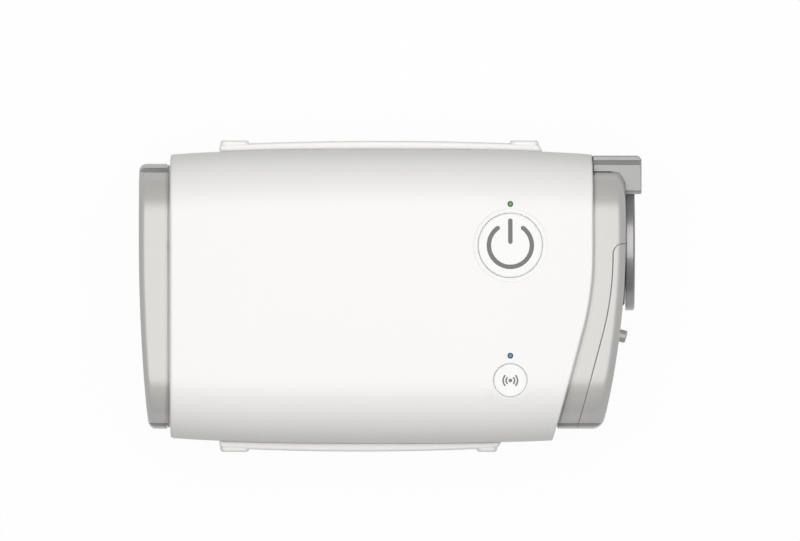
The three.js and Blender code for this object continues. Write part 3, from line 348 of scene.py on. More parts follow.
def piece_from(bm, name, body, slot, replaced=None, finish=None):
    """Turns a finished bmesh into a piece of the object that rides on a body."""
    piece = mesh_object(bm, name, finishes[finish or slot])
    smooth(piece.data)
    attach(piece, body)
    if replaced:
        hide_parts(replaced)
    return piece


def smooth(mesh):
    for face in mesh.polygons:
        face.use_smooth = True
    mesh.set_sharp_from_angle(angle=sharp_angle)


def apply_modifiers(piece):
    """Makes what the modifiers show the piece's own mesh."""
    graph = bpy.context.evaluated_depsgraph_get()
    made = bpy.data.meshes.new_from_object(piece.evaluated_get(graph))
    piece.modifiers.clear()
    piece.data = made
    smooth(made)


def tool(bm, name, material=None):
    """A cutting or joining tool that isn't part of the object; its material is left on what it cuts."""
    made = mesh_object(bm, name, material)
    made.hide_render = True
    return made


def combine(piece, tools, operation="DIFFERENCE"):
    """Cuts the tools out of the piece, or joins them to it, and clears them away."""
    for cutter in tools:
        if not cutter.data.materials:
            cutter.data.materials.append(piece.data.materials[0])
        change = piece.modifiers.new(cutter.name, "BOOLEAN")
        change.material_mode = "TRANSFER"
        change.operation = operation
        change.solver = "MANIFOLD"
        change.object = cutter
    apply_modifiers(piece)
    for cutter in tools:
        bpy.data.objects.remove(cutter)


def even_shading(piece):
    """Lets the large faces set the shading, so that narrow rounded edges stay crisp."""
    piece.modifiers.new("even_shading", "WEIGHTED_NORMAL").keep_sharp = True


def round_edges(piece, width, segments, weighed=False):
    """Rounds the piece's sharp edges, or only those that were weighed."""
    rounding = piece.modifiers.new("rounded_edges", "BEVEL")
    rounding.width = width
    rounding.segments = segments
    rounding.limit_method = "WEIGHT" if weighed else "ANGLE"
    rounding.angle_limit = edge_angle
    rounding.use_clamp_overlap = not weighed
    apply_modifiers(piece)


def weigh_edges(bm, edges, widest, radius_at=None):
    """Marks the edges with their share of the widest rounding."""
    middles = [(edge.index, (edge.verts[0].co + edge.verts[1].co) / 2) for edge in edges]
    layer = bm.edges.layers.float.new("bevel_weight_edge")
    bm.edges.ensure_lookup_table()
    for index, middle in middles:
        bm.edges[index][layer] = radius_at(middle) / widest if radius_at else 1


def thicken(bm, thickness):
    """Gives a skin its wall, on the inside, and returns the edges round the wall's open ends."""
    bmesh.ops.recalc_face_normals(bm, faces=bm.faces)
    middle = Vector((0, 0, mid_height))
    if sum(face.normal.dot(face.calc_center_median() - middle) for face in bm.faces) < 0:
        bmesh.ops.reverse_faces(bm, faces=bm.faces)
    skin = set(bm.faces)
    bmesh.ops.solidify(bm, geom=bm.faces[:], thickness=thickness)
    ends = {
        face for face in bm.faces
        if face not in skin and any(other in skin for edge in face.edges for other in edge.link_faces)
    }
    bmesh.ops.recalc_face_normals(bm, faces=bm.faces)
    bm.edges.index_update()
    rims = (edge for face in ends for edge in face.edges)
    return {edge for edge in rims if any(face not in ends for face in edge.link_faces)}


def walled_piece(bm, name, body, slot, replaced, thickness, rounding, segments=2, radius_at=None):
    """A skin that is given its wall, with the edges round the wall's open ends rounded."""
    weigh_edges(bm, thicken(bm, thickness), rounding, radius_at)
    piece = piece_from(bm, name, body, slot, replaced)
    round_edges(piece, rounding, segments, weighed=True)
    return piece


def round_box(name):
    """The box of a round node, the middle of the box and the node's radius."""
    low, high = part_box(name)
    middle = [(first + second) / 2 for first, second in zip(low, high)]
    return low, high, middle, (high.y - low.y) / 2


def cylinder(radius, length, place, sides):
    bm = bmesh.new()
    bmesh.ops.create_cone(
        bm, cap_ends=True, segments=sides, radius1=radius, radius2=radius, depth=length, matrix=place,
    )
    return bm


def rod(radius, low, high, x, y, sides=pin_sides):
    """An upright cylinder."""
    return cylinder(radius, high - low, Matrix.Translation((x, y, (low + high) / 2)), sides)


def outlet_bore(radius, right, y, name, sides=bore_sides):
    """A lengthwise cutter from the middle of the case out through the outlet end."""
    place = Matrix.Translation((right / 2, y, mid_height)) @ Matrix.Rotation(math.pi / 2, 4, "Y")
    return tool(cylinder(radius, right, place, sides), name)


def box(first, second):
    """A box between two opposite corners."""
    low = Vector([min(pair) for pair in zip(first, second)])
    high = Vector([max(pair) for pair in zip(first, second)])
    bm = bmesh.new()
    place = Matrix.Translation((low + high) / 2)
    bmesh.ops.create_cube(bm, size=1, matrix=place @ Matrix.Diagonal((*(high - low), 1)))
    return bm


def bevel(bm, edges, offset, segments):
    bmesh.ops.bevel(
        bm, geom=edges, offset=offset, segments=segments, profile=0.5, affect="EDGES", material=-1,
    )


def turned(profile, steps, centre, axis="Z", closed=False):
    """Spins a profile of (radius, height) points round an upright or lengthwise axis."""
    first, second = centre
    if axis == "Z":
        spots = [(first + radius, second, height) for radius, height in profile]
        middle, direction = (first, second, 0), (0, 0, 1)
    else:
        spots = [(height, first, second + radius) for radius, height in profile]
        middle, direction = (0, first, second), (1, 0, 0)
    bm = bmesh.new()
    points, edges = draw_row(bm, spots, closed)
    bmesh.ops.spin(
        bm, geom=points + edges, cent=middle, axis=direction, angle=2 * math.pi, steps=steps, use_merge=True,
    )
    bmesh.ops.remove_doubles(bm, verts=bm.verts, dist=speck)
    bmesh.ops.recalc_face_normals(bm, faces=bm.faces)
    return bm


def arc(centre_radius, centre_height, radius, start, end, steps=4):
    """Points of a round stretch of a profile, between two angles in degrees."""
    points = []
    for step in range(steps + 1):
        angle = math.radians(start + (end - start) * step / steps)
        points.append((centre_radius + radius * math.cos(angle), centre_height + radius * math.sin(angle)))
    return points


def outer_top(radius, height, edge, steps=4):
    """The round upper corner on the outside of a profile."""
    return arc(radius - edge, height - edge, edge, 0, 90, steps)


def outer_foot(radius, height, edge):
    """The round lower corner on the outside of a profile."""
    return arc(radius - edge, height + edge, edge, -90, 0)


def inner_top(radius, height, edge, steps=4):
    """The round upper corner on the inside of a profile."""
    return arc(radius + edge, height - edge, edge, 90, 180, steps)


def plate(outline, low, high):
    """A plan outline of X and Y points, raised from low to high."""
    bm = bmesh.new()
    base = bm.faces.new([bm.verts.new((x, y, low)) for x, y in outline])
    top = bmesh.ops.extrude_face_region(bm, geom=[base])["geom"]
    raised = [vert for vert in top if isinstance(vert, bmesh.types.BMVert)]
    bmesh.ops.translate(bm, vec=(0, 0, high - low), verts=raised)
    bmesh.ops.recalc_face_normals(bm, faces=bm.faces)
    return bm


def join(bm, other):
    """Adds another bmesh's faces to this one."""
    mesh = bpy.data.meshes.new("joined")
    other.to_mesh(mesh)
    other.free()
    bm.from_mesh(mesh)
    bpy.data.meshes.remove(mesh)


def draw_row(bm, points, closed):
    """Draws points joined by edges."""
    row = [bm.verts.new(point) for point in points]
    links = list(zip(row, row[1:]))
    if closed:
        links.append((row[-1], row[0]))
    return row, [bm.edges.new(link) for link in links]


def extrude_row(bm, row, edges, points):
    """Extrudes a row of edges and sets the new row on the given points."""
    made = bmesh.ops.extrude_edge_only(bm, edges=edges)["geom"]
    fresh = {vert for vert in made if isinstance(vert, bmesh.types.BMVert)}
    next_row = []
    for vert, point in zip(row, points):
        twin = next(other for edge in vert.link_edges if (other := edge.other_vert(vert)) in fresh)
        twin.co = point
        next_row.append(twin)
    return next_row, [edge for edge in made if isinstance(edge, bmesh.types.BMEdge)]


def loft(bm, rows_of_points, closed):
    """A skin through rows of points: the first row is drawn and each next one is extruded from the last."""
    row, edges = draw_row(bm, rows_of_points[0], closed)
    rows = [row]
    for points in rows_of_points[1:]:
        row, edges = extrude_row(bm, row, edges, points)
        rows.append(row)
    return rows


def ring_pairs(row):
    """Pairs the upper vertices of a row with those below them."""
    return [(row[j], row[-1 - j]) for j in range(len(row) // 2)]


def close_with_strips(bm, pairs):
    """Closes an end by upright strips between pairs of a high and a low vertex."""
    face = bm.faces.new([high for high, _ in pairs] + [low for _, low in reversed(pairs)])
    for (high, low), (following, _) in zip(pairs[1:], pairs[2:]):
        made, _ = bmesh.utils.face_split(face, high, low)
        if following in made.verts:
            face = made


def closed_block(rows_of_points):
    """A skin through rings of points, closed at both ends."""
    bm = bmesh.new()
    rows = loft(bm, rows_of_points, closed=True)
    close_with_strips(bm, ring_pairs(rows[0]))
    close_with_strips(bm, ring_pairs(rows[-1]))
    bmesh.ops.recalc_face_normals(bm, faces=bm.faces)
    return bm


# The case's rounded section

def spread(start, end, count):
    return [start + (end - start) * step / count for step in range(count)]


def section_spots(side_steps, corner_steps, crown_steps, exact_shares=()):
    """Spots round a section from the middle of the back side: shares of its flats, and an angle."""
    angles = spread(0, math.pi / 2, corner_steps)
    plain = spread(1, -1, crown_steps)
    kept = [share for share in plain if all(abs(share - exact) > crowded_share for exact in exact_shares)]
    shares = sorted({*kept, *exact_shares}, reverse=True)
    half = [(1, share, 0) for share in spread(0, 1, side_steps)]
    half += [(1, 1, angle) for angle in angles]
    half += [(share, 1, math.pi / 2) for share in shares]
    half += [(-1, 1, math.pi - angle) for angle in [math.pi / 2, *reversed(angles)]]
    half += [(-1, share, math.pi) for share in spread(1, 0, side_steps)[1:]]
    low = [(across, -up, -angle) for across, up, angle in reversed(half[1:])]
    return half + [(-1, 0, math.pi)] + low


def section_point(spot, half_width, half_height, corner, inset=0.0):
    """The Y and Z of a spot on a section, drawn in by the inset."""
    across, up, angle = spot
    radius = corner - inset
    y = across * (half_width - corner) + radius * math.cos(angle)
    z = up * (half_height - corner) + radius * math.sin(angle)
    return y, mid_height + z


def bow_share(x):
    return abs((x - shell_middle) / shell_half_length) ** 3


def half_width_at(x):
    return shell_half_width - side_bow * bow_share(x)


def half_height_at(x):
    return shell_half_height - crown_bow * bow_share(x)


def crown_height(x, y):
    """Height of the case's top skin."""
    beyond = max(0, abs(y) - (half_width_at(x) - shell_corner))
    drop = shell_corner - math.sqrt(max(0, shell_corner**2 - beyond**2))
    return mid_height + half_height_at(x) - drop


def outlet_edge_at(y, offset=0.0):
    """The slanted outlet edge of the case: straight, then an arc, then a straight slant."""
    centre_x = shell_right - outlet_draw - slant_radius
    radius = slant_radius + offset
    arc_end = slant_start - radius * math.sin(slant_angle)
    if y >= slant_start:
        return centre_x + radius
    if y >= arc_end:
        return centre_x + math.sqrt(radius**2 - (slant_start - y) ** 2)
    return centre_x + radius * math.cos(slant_angle) - (arc_end - y) * math.tan(slant_angle)


def outlet_face_at(y):
    return outlet_face - face_radius + math.sqrt(face_radius**2 - (y - face_middle) ** 2)


def intake_face_at(y):
    """The cover's face: flat at the back and bowed towards the front."""
    run = cover_flat_start + plug_half_width
    radius = (run**2 + cover_bow**2) / (2 * cover_bow)
    beyond = max(0, cover_flat_start - y)
    return cover_face + radius - math.sqrt(radius**2 - beyond**2)


# The case halves

def case_point(spot, share):
    """The point of the case's skin at a share of the way from the intake edge to the slanted edge."""
    x = shell_left + share * 2 * shell_half_length
    for _ in range(edge_rounds):
        y, z = section_point(spot, half_width_at(x), half_height_at(x), shell_corner)
        x = shell_left + share * (outlet_edge_at(y) - shell_left)
    return x, y, z


def case_skin(upper):
    """Half of the case's outer skin, as a regular grid."""
    spots = section_spots(side_steps=5, corner_steps=20, crown_steps=36)
    half = len(spots) // 2
    chosen = spots[: half + 1] if upper else spots[half:] + spots[:1]
    rows = []
    for station in range(case_stations + 1):
        points = [case_point(spot, station / case_stations) for spot in chosen]
        rows.append([(x, y, max(z, seam_top) if upper else min(z, seam_low)) for x, y, z in points])
    bm = bmesh.new()
    return bm, loft(bm, rows, closed=False)


def dish_drop(distance, hole_radius):
    """A shallow step down round the power button."""
    share = min(1, max(0, (hole_radius + dish_reach - distance) / dish_slope))
    return dish_depth * share * share * (3 - 2 * share)


def open_button_hole(bm, rows, name):
    """Replaces a patch of the case's grid by rings that run down to a round hole."""
    centre_y = round_box(name + "_button")[2][1]
    hole_radius = controls[name]["radius"] + button_gap
    reach = hole_radius + controls[name]["rings"][0] + button_patch_margin
    line = min(rows, key=lambda row: abs(row[0].co.x - controls_x))
    across = {j: vert.co.y - centre_y for j, vert in enumerate(line) if vert.is_valid}
    columns = [j for j, offset in across.items() if abs(offset) <= reach]
    centre = min(columns, key=lambda j: abs(across[j]))
    lines = [i for i, row in enumerate(rows) if abs(row[centre].co.x - controls_x) <= reach]
    i0, i1, j0, j1 = lines[0] - 1, lines[-1] + 1, columns[0] - 1, columns[-1] + 1
    rim = [rows[i][j0] for i in range(i0, i1)]
    rim += [rows[i1][j] for j in range(j0, j1)]
    rim += [rows[i][j1] for i in range(i1, i0, -1)]
    rim += [rows[i0][j] for j in range(j1, j0, -1)]
    inside = {rows[i][j] for i in range(i0, i1 + 1) for j in range(j0, j1 + 1)}
    patch = [face for face in bm.faces if all(vert in inside for vert in face.verts)]
    bmesh.ops.delete(bm, geom=patch, context="FACES")
    edges = [bm.edges.get(pair) for pair in zip(rim, rim[1:] + rim[:1])]
    angles = [math.atan2(vert.co.y - centre_y, vert.co.x - controls_x) for vert in rim]
    for step in controls[name]["rings"]:
        radius = hole_radius + step
        drop = dish_drop(radius, hole_radius) if name == "power" else 0
        points = []
        for angle in angles:
            x = controls_x + radius * math.cos(angle)
            y = centre_y + radius * math.sin(angle)
            points.append((x, y, crown_height(x, y) - drop))
        rim, edges = extrude_row(bm, rim, edges, points)


def case_rounding(point):
    """How far each sharp edge of the case is rounded."""
    if point.x < shell_left + wall / 2:
        return intake_lip
    if abs(point.x - outlet_edge_at(point.y)) < wall / 2:
        return outlet_lip
    if abs(point.z - mid_height) < wall / 2:
        return seam_edge
    return button_edge


def case_shell(bm, name):
    return walled_piece(
        bm, name + "_shell", "machine", "shell", name, wall, intake_lip, segments=4, radius_at=case_rounding,
    )


def upper_case():
    bm, rows = case_skin(upper=True)
    for name in controls:
        open_button_hole(bm, rows, name)
    piece = case_shell(bm, "upper_case")
    cutters = []
    for name in controls:
        low, _, (_, y, _), _ = round_box(name + "_light_pipe")
        hole = rod(light_hole, low.z, case_high.z + overrun, controls_x, y)
        cutters.append(tool(hole, name + "_light_hole"))
    combine(piece, cutters)
    even_shading(piece)


def lower_case():
    """The base, with a deep well for each screw and a seat for each foot."""
    bm, _ = case_skin(upper=False)
    piece = case_shell(bm, "lower_case")
    tubes = []
    bores = []
    for place in places:
        low, _, (x, y, _), _ = round_box("case_screw_" + place)
        underside = 2 * mid_height - crown_height(x, y)
        tube = rod(well_radius + well_wall, underside + wall / 2, seam_low, x, y)
        tubes.append(tool(tube, "well_" + place))
        bores.append(tool(rod(well_radius, -overrun, low.z + well_depth, x, y), "bore_" + place))
        _, high, (x, y, _), radius = round_box("foot_" + place)
        bores.append(tool(rod(radius + foot_room, -overrun, high.z, x, y, bore_sides), "seat_" + place))
    combine(piece, tubes, "UNION")
    combine(piece, bores)
    even_shading(piece)


def foot(place):
    """A rubber foot with ribs on its sole."""
    low, high, middle, radius = round_box("foot_" + place)
    sole = low.z + foot_groove
    profile = [(0, sole)]
    for share in foot_rib_shares:
        rib = share * radius
        profile += [(rib - foot_groove, sole), (rib, low.z), (rib + foot_groove, low.z)]
        profile += [(rib + 2 * foot_groove, sole)]
    profile += [(radius - foot_edge - foot_groove, low.z)]
    profile += outer_foot(radius, low.z, foot_edge)
    profile += [(radius, high.z), (0, high.z)]
    bm = turned(profile, foot_sides, middle[:2])
    even_shading(piece_from(bm, "rubber_foot_" + place, "machine", "rubber", "foot_" + place))


def case_screw(place):
    """A cross-headed screw, head down in its well."""
    low, high, (x, y, _), radius = round_box("case_screw_" + place)
    head = low.z + screw_head
    profile = [(0, low.z), (radius - screw_edge, low.z)]
    profile += outer_foot(radius, low.z, screw_edge)
    profile += [(radius, head), (screw_shank, head), (screw_shank, high.z - screw_shank), (0, high.z)]
    bm = turned(profile, pin_sides, (x, y))
    screw = piece_from(bm, "screw_" + place, "machine", "steel", "case_screw_" + place)
    slots = []
    for long, wide in ((recess_length, recess_half), (recess_half, recess_length)):
        slot = box((x - long, y - wide, low.z - screw_edge), (x + long, y + wide, low.z + recess_depth))
        slots.append(tool(slot, "recess"))
    combine(screw, slots)


def rail(name, side):
    """A long raised rail with a pad at each end."""
    low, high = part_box(name)
    half = (high.x - low.x) / 2
    outline = []
    for step in range(rail_steps + 1):
        x = low.x + 2 * half * step / rail_steps
        outline.append((x, side * (half_width_at(x) + rail_gap)))
    left = low.x + rail_rake_left
    right = high.x - rail_rake_right
    for step in range(rail_steps, -1, -1):
        x = left + (right - left) * step / rail_steps
        bow = rail_bow * ((x - (low.x + high.x) / 2) / half) ** 2
        outline.append((x, side * (rail_crown - bow)))
    piece = piece_from(plate(outline, low.z, high.z), name + "_moulding", "machine", "shell", name)
    round_edges(piece, rail_edge, segments=4)
    last = pad_length if side > 0 else short_pad_length
    combine(piece, [rail_pad(side, left, left + pad_length), rail_pad(side, right - last, right)], "UNION")
    even_shading(piece)


def rail_pad(side, left, right):
    """A rounded pad that stands a little proud of the rail."""
    outer = side * (rail_crown + pad_proud)
    inner = outer - side * pad_thickness
    bm = box((left, inner, mid_height - pad_half_height), (right, outer, mid_height + pad_half_height))
    corners = [edge for edge in bm.edges if abs(edge.verts[0].co.y - edge.verts[1].co.y) > hair]
    bevel(bm, corners, pad_corner, segments=5)
    rim = [edge for edge in bm.edges if all(abs(vert.co.y - outer) < hair for vert in edge.verts)]
    bevel(bm, rim, pad_edge, segments=4)
    return tool(bm, "pad")


# Intake end

def end_spots(top=cap_seam_top, corner=cap_seam_corner):
    """Spots round a grey end, with more of them where the port panel's top bends."""
    flat = plug_half_width - plug_corner
    bend = [(top - corner * share) / flat for share in seam_bend_shares]
    spots = section_spots(side_steps=1, corner_steps=16, crown_steps=26, exact_shares=bend)
    return [spot for spot in spots if abs(spot[1]) == 1]


def end_point(spot, inset=0.0):
    return section_point(spot, plug_half_width, plug_half_height, plug_corner, inset)


def rim_inset(depth, fillet):
    """How far the skin has drawn in at a depth behind the end face."""
    if depth >= fillet:
        return 0.0
    return fillet - math.sqrt(max(0.0, fillet**2 - (fillet - depth) ** 2))


def shadow_slots(left, right):
    """The narrow slots along the shoulders of a grey end: a slot at the back and a ledge at the front, their
    faces painted dark grey as painted shade.
    """
    slot = box((left, slot_near, slot_floor), (right, slot_far, case_high.z))
    ledge = box((left, -shell_half_width, ledge_floor), (right, ledge_edge, case_high.z))
    # Their cut faces take a dark grey: painted shade.
    return [tool(slot, "back_slot", finishes["painted_shade"]), tool(ledge, "front_ledge", finishes["painted_shade"])]


def filter_cover():
    """The snap-off cover of the intake, with two rows of vents."""
    spots = end_spots()
    lip_end = cover_rim - cover_line
    rows = []
    for x in (cover_rim, lip_end):
        rows.append([(x, *end_point(spot, cover_line_depth)) for spot in spots])
    for share in spread(0, 1, cover_steps):
        row = []
        for spot in spots:
            y, z = end_point(spot)
            end = intake_face_at(y) + cover_fillet
            row.append((lip_end + share * (end - lip_end), y, z))
        rows.append(row)
    for angle in [*spread(0, 90, fillet_steps), 90]:
        depth = cover_fillet * (1 - math.sin(math.radians(angle)))
        row = []
        for spot in spots:
            y, z = end_point(spot, rim_inset(depth, cover_fillet))
            row.append((intake_face_at(y) + depth, y, z))
        rows.append(row)
    bm = bmesh.new()
    close_with_strips(bm, ring_pairs(loft(bm, rows, closed=True)[-1]))
    piece = walled_piece(
        bm, "intake_cover", "filter_cover_body", "ends", "filter_cover", cover_wall, cover_edge,
    )
    combine(piece, [cover_vents(), *shadow_slots(cover_face - overrun, cover_rim + overrun)])
    combine(piece, cover_hooks(), "UNION")
    even_shading(piece)


def cover_vents():
    bm = bmesh.new()
    for slot in range(vent_count):
        y = (slot - (vent_count - 1) / 2) * vent_pitch
        for side in (-1, 1):
            hole = box(
                (cover_face - vent_margin, y - vent_half, mid_height + side * vent_near),
                (cover_rim - vent_margin, y + vent_half, mid_height + side * vent_far),
            )
            corners = [
                edge for edge in hole.edges if abs(edge.verts[0].co.x - edge.verts[1].co.x) > hair
            ]
            bevel(hole, corners, vent_corner, segments=4)
            join(bm, hole)
    return tool(bm, "vents")


def cover_hooks():
    """Two snap hooks that reach into the case, each on its root in the cover's wall."""
    hooks = []
    left = cover_rim - hook_root_far
    tie = cover_rim - hook_root_near
    half = hook_half_width
    for side in (-1, 1):
        inner = mid_height + side * hook_height
        root = mid_height + side * (plug_half_height - hook_root_sink)
        hooks.append(tool(box((left, -half, inner), (tie, half, root)), "hook_root"))
        outer = inner + side * hook_thickness
        hooks.append(tool(box((left, -half, inner), (cover_high.x, half, outer)), "hook"))
    return hooks


def filter_frame():
    """The frame that plugs the intake: a rim with bars across it and a lip that holds the filter."""
    spots = end_spots()
    low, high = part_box("intake_frame")
    face = cover_rim + frame_clearance
    shoulder = shell_left + frame_shoulder
    stations = [
        (low.x, frame_lip_outer), (face, frame_lip_outer), (face, cover_line_depth),
        (shoulder, cover_line_depth), (shoulder, -frame_grip), (high.x, -frame_grip), (high.x, frame_rim),
        (face, frame_rim), (face, frame_lip_inner), (low.x, frame_lip_inner), (low.x, frame_lip_outer),
    ]
    bm = bmesh.new()
    loft(bm, [[(x, *end_point(spot, inset)) for spot in spots] for x, inset in stations], closed=True)
    bmesh.ops.remove_doubles(bm, verts=bm.verts, dist=speck)
    bmesh.ops.recalc_face_normals(bm, faces=bm.faces)
    piece = piece_from(bm, "filter_frame", "machine", "ends", "intake_frame")
    round_edges(piece, frame_edge, segments=2)
    reach = plug_half_height - frame_rim + bar_sink
    bars = []
    for bar in range(1, bar_count + 1):
        y = 2 * (plug_half_width - frame_rim) * (bar / (bar_count + 1) - 0.5)
        bars.append(tool(box(
            (high.x - bar_thickness, y - bar_half, mid_height - reach),
            (high.x - frame_clearance, y + bar_half, mid_height + reach),
        ), "bar"))
    combine(piece, bars, "UNION")
    half = hook_half_width + hook_gap
    rooms = []
    for side in (-1, 1):
        near = mid_height + side * (hook_height - hook_gap)
        far = mid_height + side * (hook_height + hook_thickness + hook_gap)
        room = box((low.x - overrun, -half, near), (cover_rim + hook_reach + hook_gap, half, far))
        rooms.append(tool(room, "hook_room"))
    combine(piece, rooms)
    even_shading(piece)


def filter_pad():
    """A soft pad of filter felt, pressed thin round its edge."""
    low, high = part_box("air_filter")
    inset = plug_half_width - high.y
    stations = [(high.x, pad_softness), (high.x, 0)]
    stations += [(low.x + rise * pad_softness, draw * pad_softness) for rise, draw in pad_edge_shares]
    spots = end_spots()
    bm = closed_block([[(x, *end_point(spot, inset + draw)) for spot in spots] for x, draw in stations])
    even_shading(piece_from(bm, "filter_pad", "filter_cover_body", "filter", "air_filter"))


# Outlet end

def seam_at(y, offset, top, corner):
    """Where the port panel starts: along the case edge, then round a small corner to the outer face."""
    turn = top - corner
    if y <= turn:
        return outlet_edge_at(y, offset)
    rise = min(corner, y - turn)
    return outlet_edge_at(turn, offset) + corner - math.sqrt(max(0, corner**2 - rise**2))


def skin_run(depth):
    """Distance along the skin from the end face's rim to a depth behind the face."""
    if depth >= end_fillet:
        return end_fillet * math.pi / 2 + depth - end_fillet
    return end_fillet * (math.pi / 2 - math.asin(1 - depth / end_fillet))


def depth_of(run):
    """The depth behind the face at a distance along the skin."""
    if run >= end_fillet * math.pi / 2:
        return run - end_fillet * math.pi / 2 + end_fillet
    return end_fillet * (1 - math.cos(run / end_fillet))


def skin_point(spot, start_x, end_x, share, grow=0.0):
    """A point of the outlet end's skin between two places along X; none for the end means its face."""
    y, z = end_point(spot, -grow)
    for _ in range(face_rounds):
        face = outlet_face_at(y)
        first = skin_run(max(0, face - start_x(y)))
        last = skin_run(max(0, face - end_x(y))) if end_x else 0
        depth = depth_of(first + (last - first) * share)
        y, z = end_point(spot, rim_inset(depth, end_fillet) - grow)
    return outlet_face_at(y) + grow - depth, y, z


def run_steps(count):
    return [*spread(0, 1, count), 1]


def cap_start(y):
    return outlet_edge_at(y, case_line)


def cap_middle(y):
    return outlet_edge_at(y, panel_seam - cap_bend_run)


def cap_end(y):
    return min(outlet_face_at(y), seam_at(y, panel_seam - panel_gap, cap_seam_top, cap_seam_corner))


def panel_start(y):
    return seam_at(y, panel_seam, panel_top, panel_corner)


def outlet_end_cap():
    """The fixed grey end, round the port panel's seam."""
    spots = end_spots()
    beyond = [end_point(spot)[0] > cap_seam_top + hair for spot in spots]
    rows = []
    for offset in (-plug_depth, case_line):
        points = [end_point(spot, case_line_depth) for spot in spots]
        rows.append([(outlet_edge_at(y, offset), y, z) for y, z in points])
    for share in run_steps(end_steps):
        rows.append([skin_point(spot, cap_start, cap_middle, share) for spot in spots])
    for share in run_steps(end_steps)[1:]:
        ends = [None if behind else cap_end for behind in beyond]
        rows.append([skin_point(spot, cap_middle, end, share) for spot, end in zip(spots, ends)])
    bm = bmesh.new()
    last = loft(bm, rows, closed=True)[-1]
    close_with_strips(bm, ring_pairs(last)[: beyond.index(False)])
    piece = walled_piece(bm, "outlet_cap", "machine", "ends", "outlet_end_cap", end_wall, panel_edge)
    right = outlet_face + overrun
    combine(piece, [outlet_bore(spigot_room, right, outlet_y, "spigot_room"), *shadow_slots(0, right)])
    even_shading(piece)


def port_panel():
    """The panel with the sockets, which fills the rest of the outlet end."""
    spots = end_spots(panel_top, panel_corner)
    first = next(j for j, spot in enumerate(spots) if end_point(spot)[0] < panel_top + speck)
    chosen = spots[first : len(spots) - first]
    rows = []
    for share in run_steps(end_steps):
        rows.append([skin_point(spot, panel_start, None, share) for spot in chosen])
    bm = bmesh.new()
    close_with_strips(bm, ring_pairs(loft(bm, rows, closed=False)[-1]))
    piece = walled_piece(bm, "socket_panel", "machine", "ends", "port_panel", end_wall, panel_edge)
    combine(piece, [seat_ring(), key_stud()], "UNION")
    socket_y = round_box("power_socket")[2][1]
    right = outlet_face + overrun
    combine(piece, [
        outlet_bore(spigot_room, right, outlet_y, "spigot_room"),
        outlet_bore(socket_room, right, socket_y, "socket_room"),
        *shadow_slots(0, right),
    ])
    even_shading(piece)


def seat_ring():
    """The low step that the outlet collar sits on."""
    face = outlet_face - seat_sink
    left = outlet_face - seat_depth
    profile = [(seat_inner, left), (seat_outer, left), (seat_outer, face - seat_edge)]
    profile += [(seat_outer - seat_edge, face), (seat_inner, face)]
    bm = turned(profile, ring_sides, (outlet_y, mid_height), "X", closed=True)
    cut = bmesh.ops.bisect_plane(
        bm, geom=bm.verts[:] + bm.edges[:] + bm.faces[:], plane_co=(0, panel_top, 0),
        plane_no=(0, 1, 0), clear_outer=True,
    )["geom_cut"]
    open_edges = [edge for edge in cut if isinstance(edge, bmesh.types.BMEdge)]
    bmesh.ops.holes_fill(bm, edges=open_edges, sides=0)
    bmesh.ops.recalc_face_normals(bm, faces=bm.faces)
    return tool(bm, "seat_ring")


def key_stud():
    """A small round stud that keys the hose."""
    profile = [(0, -stud_root), (stud_radius, -stud_root), (stud_radius, stud_proud - stud_edge)]
    profile += outer_top(stud_radius, stud_proud, stud_edge)
    profile += [(0, stud_proud)]
    bm = turned(profile, stud_sides, (0, 0))
    place = Matrix.Translation((outlet_face_at(stud_y), stud_y, mid_height))
    lean = Matrix.Rotation(-slant_angle, 4, "Z") @ Matrix.Rotation(math.pi / 2, 4, "Y")
    bmesh.ops.transform(bm, matrix=place @ lean, verts=bm.verts)
    return tool(bm, "key_stud")


def outlet_collar():
    """The gloss ring that the hose snaps on to."""
    face = collar_high.x
    back = outlet_face + collar_lift
    groove = collar_groove
    profile = [(spigot_radius, collar_low.x), (spigot_radius, back)]
    profile += outer_foot(collar_radius, back, collar_back_edge)
    profile += outer_top(collar_radius, face, collar_edge, steps=5)
    profile += [(collar_track + 2 * groove, face), (collar_track + groove, face - groove)]
    profile += [(collar_track - groove, face - groove), (collar_track - 2 * groove, face)]
    profile += inner_top(collar_bore, face, collar_edge, steps=5)
    profile += [(collar_bore, collar_low.x)]
    bm = turned(profile, collar_sides, (outlet_y, mid_height), "X", closed=True)
    even_shading(piece_from(bm, "collar_ring", "machine", "collar", "outlet_collar"))


def outlet_seal():
    """The soft lip ring round the end of the duct."""
    low, high, _, outer = round_box("outlet_seal")
    inner = outer - seal_thickness
    lip = seal_lip
    profile = [(inner, low.x), (outer - lip, low.x), (outer, low.x + lip), (outer - lip, low.x + 2 * lip)]
    profile += [(outer - lip, high.x - 2 * lip), (outer, high.x - lip)]
    profile += outer_top(outer, high.x, lip) + inner_top(inner, high.x, lip)
    bm = turned(profile, seal_sides, (outlet_y, mid_height), "X", closed=True)
    even_shading(piece_from(bm, "duct_lip_seal", "machine", "silicone", "outlet_seal"))


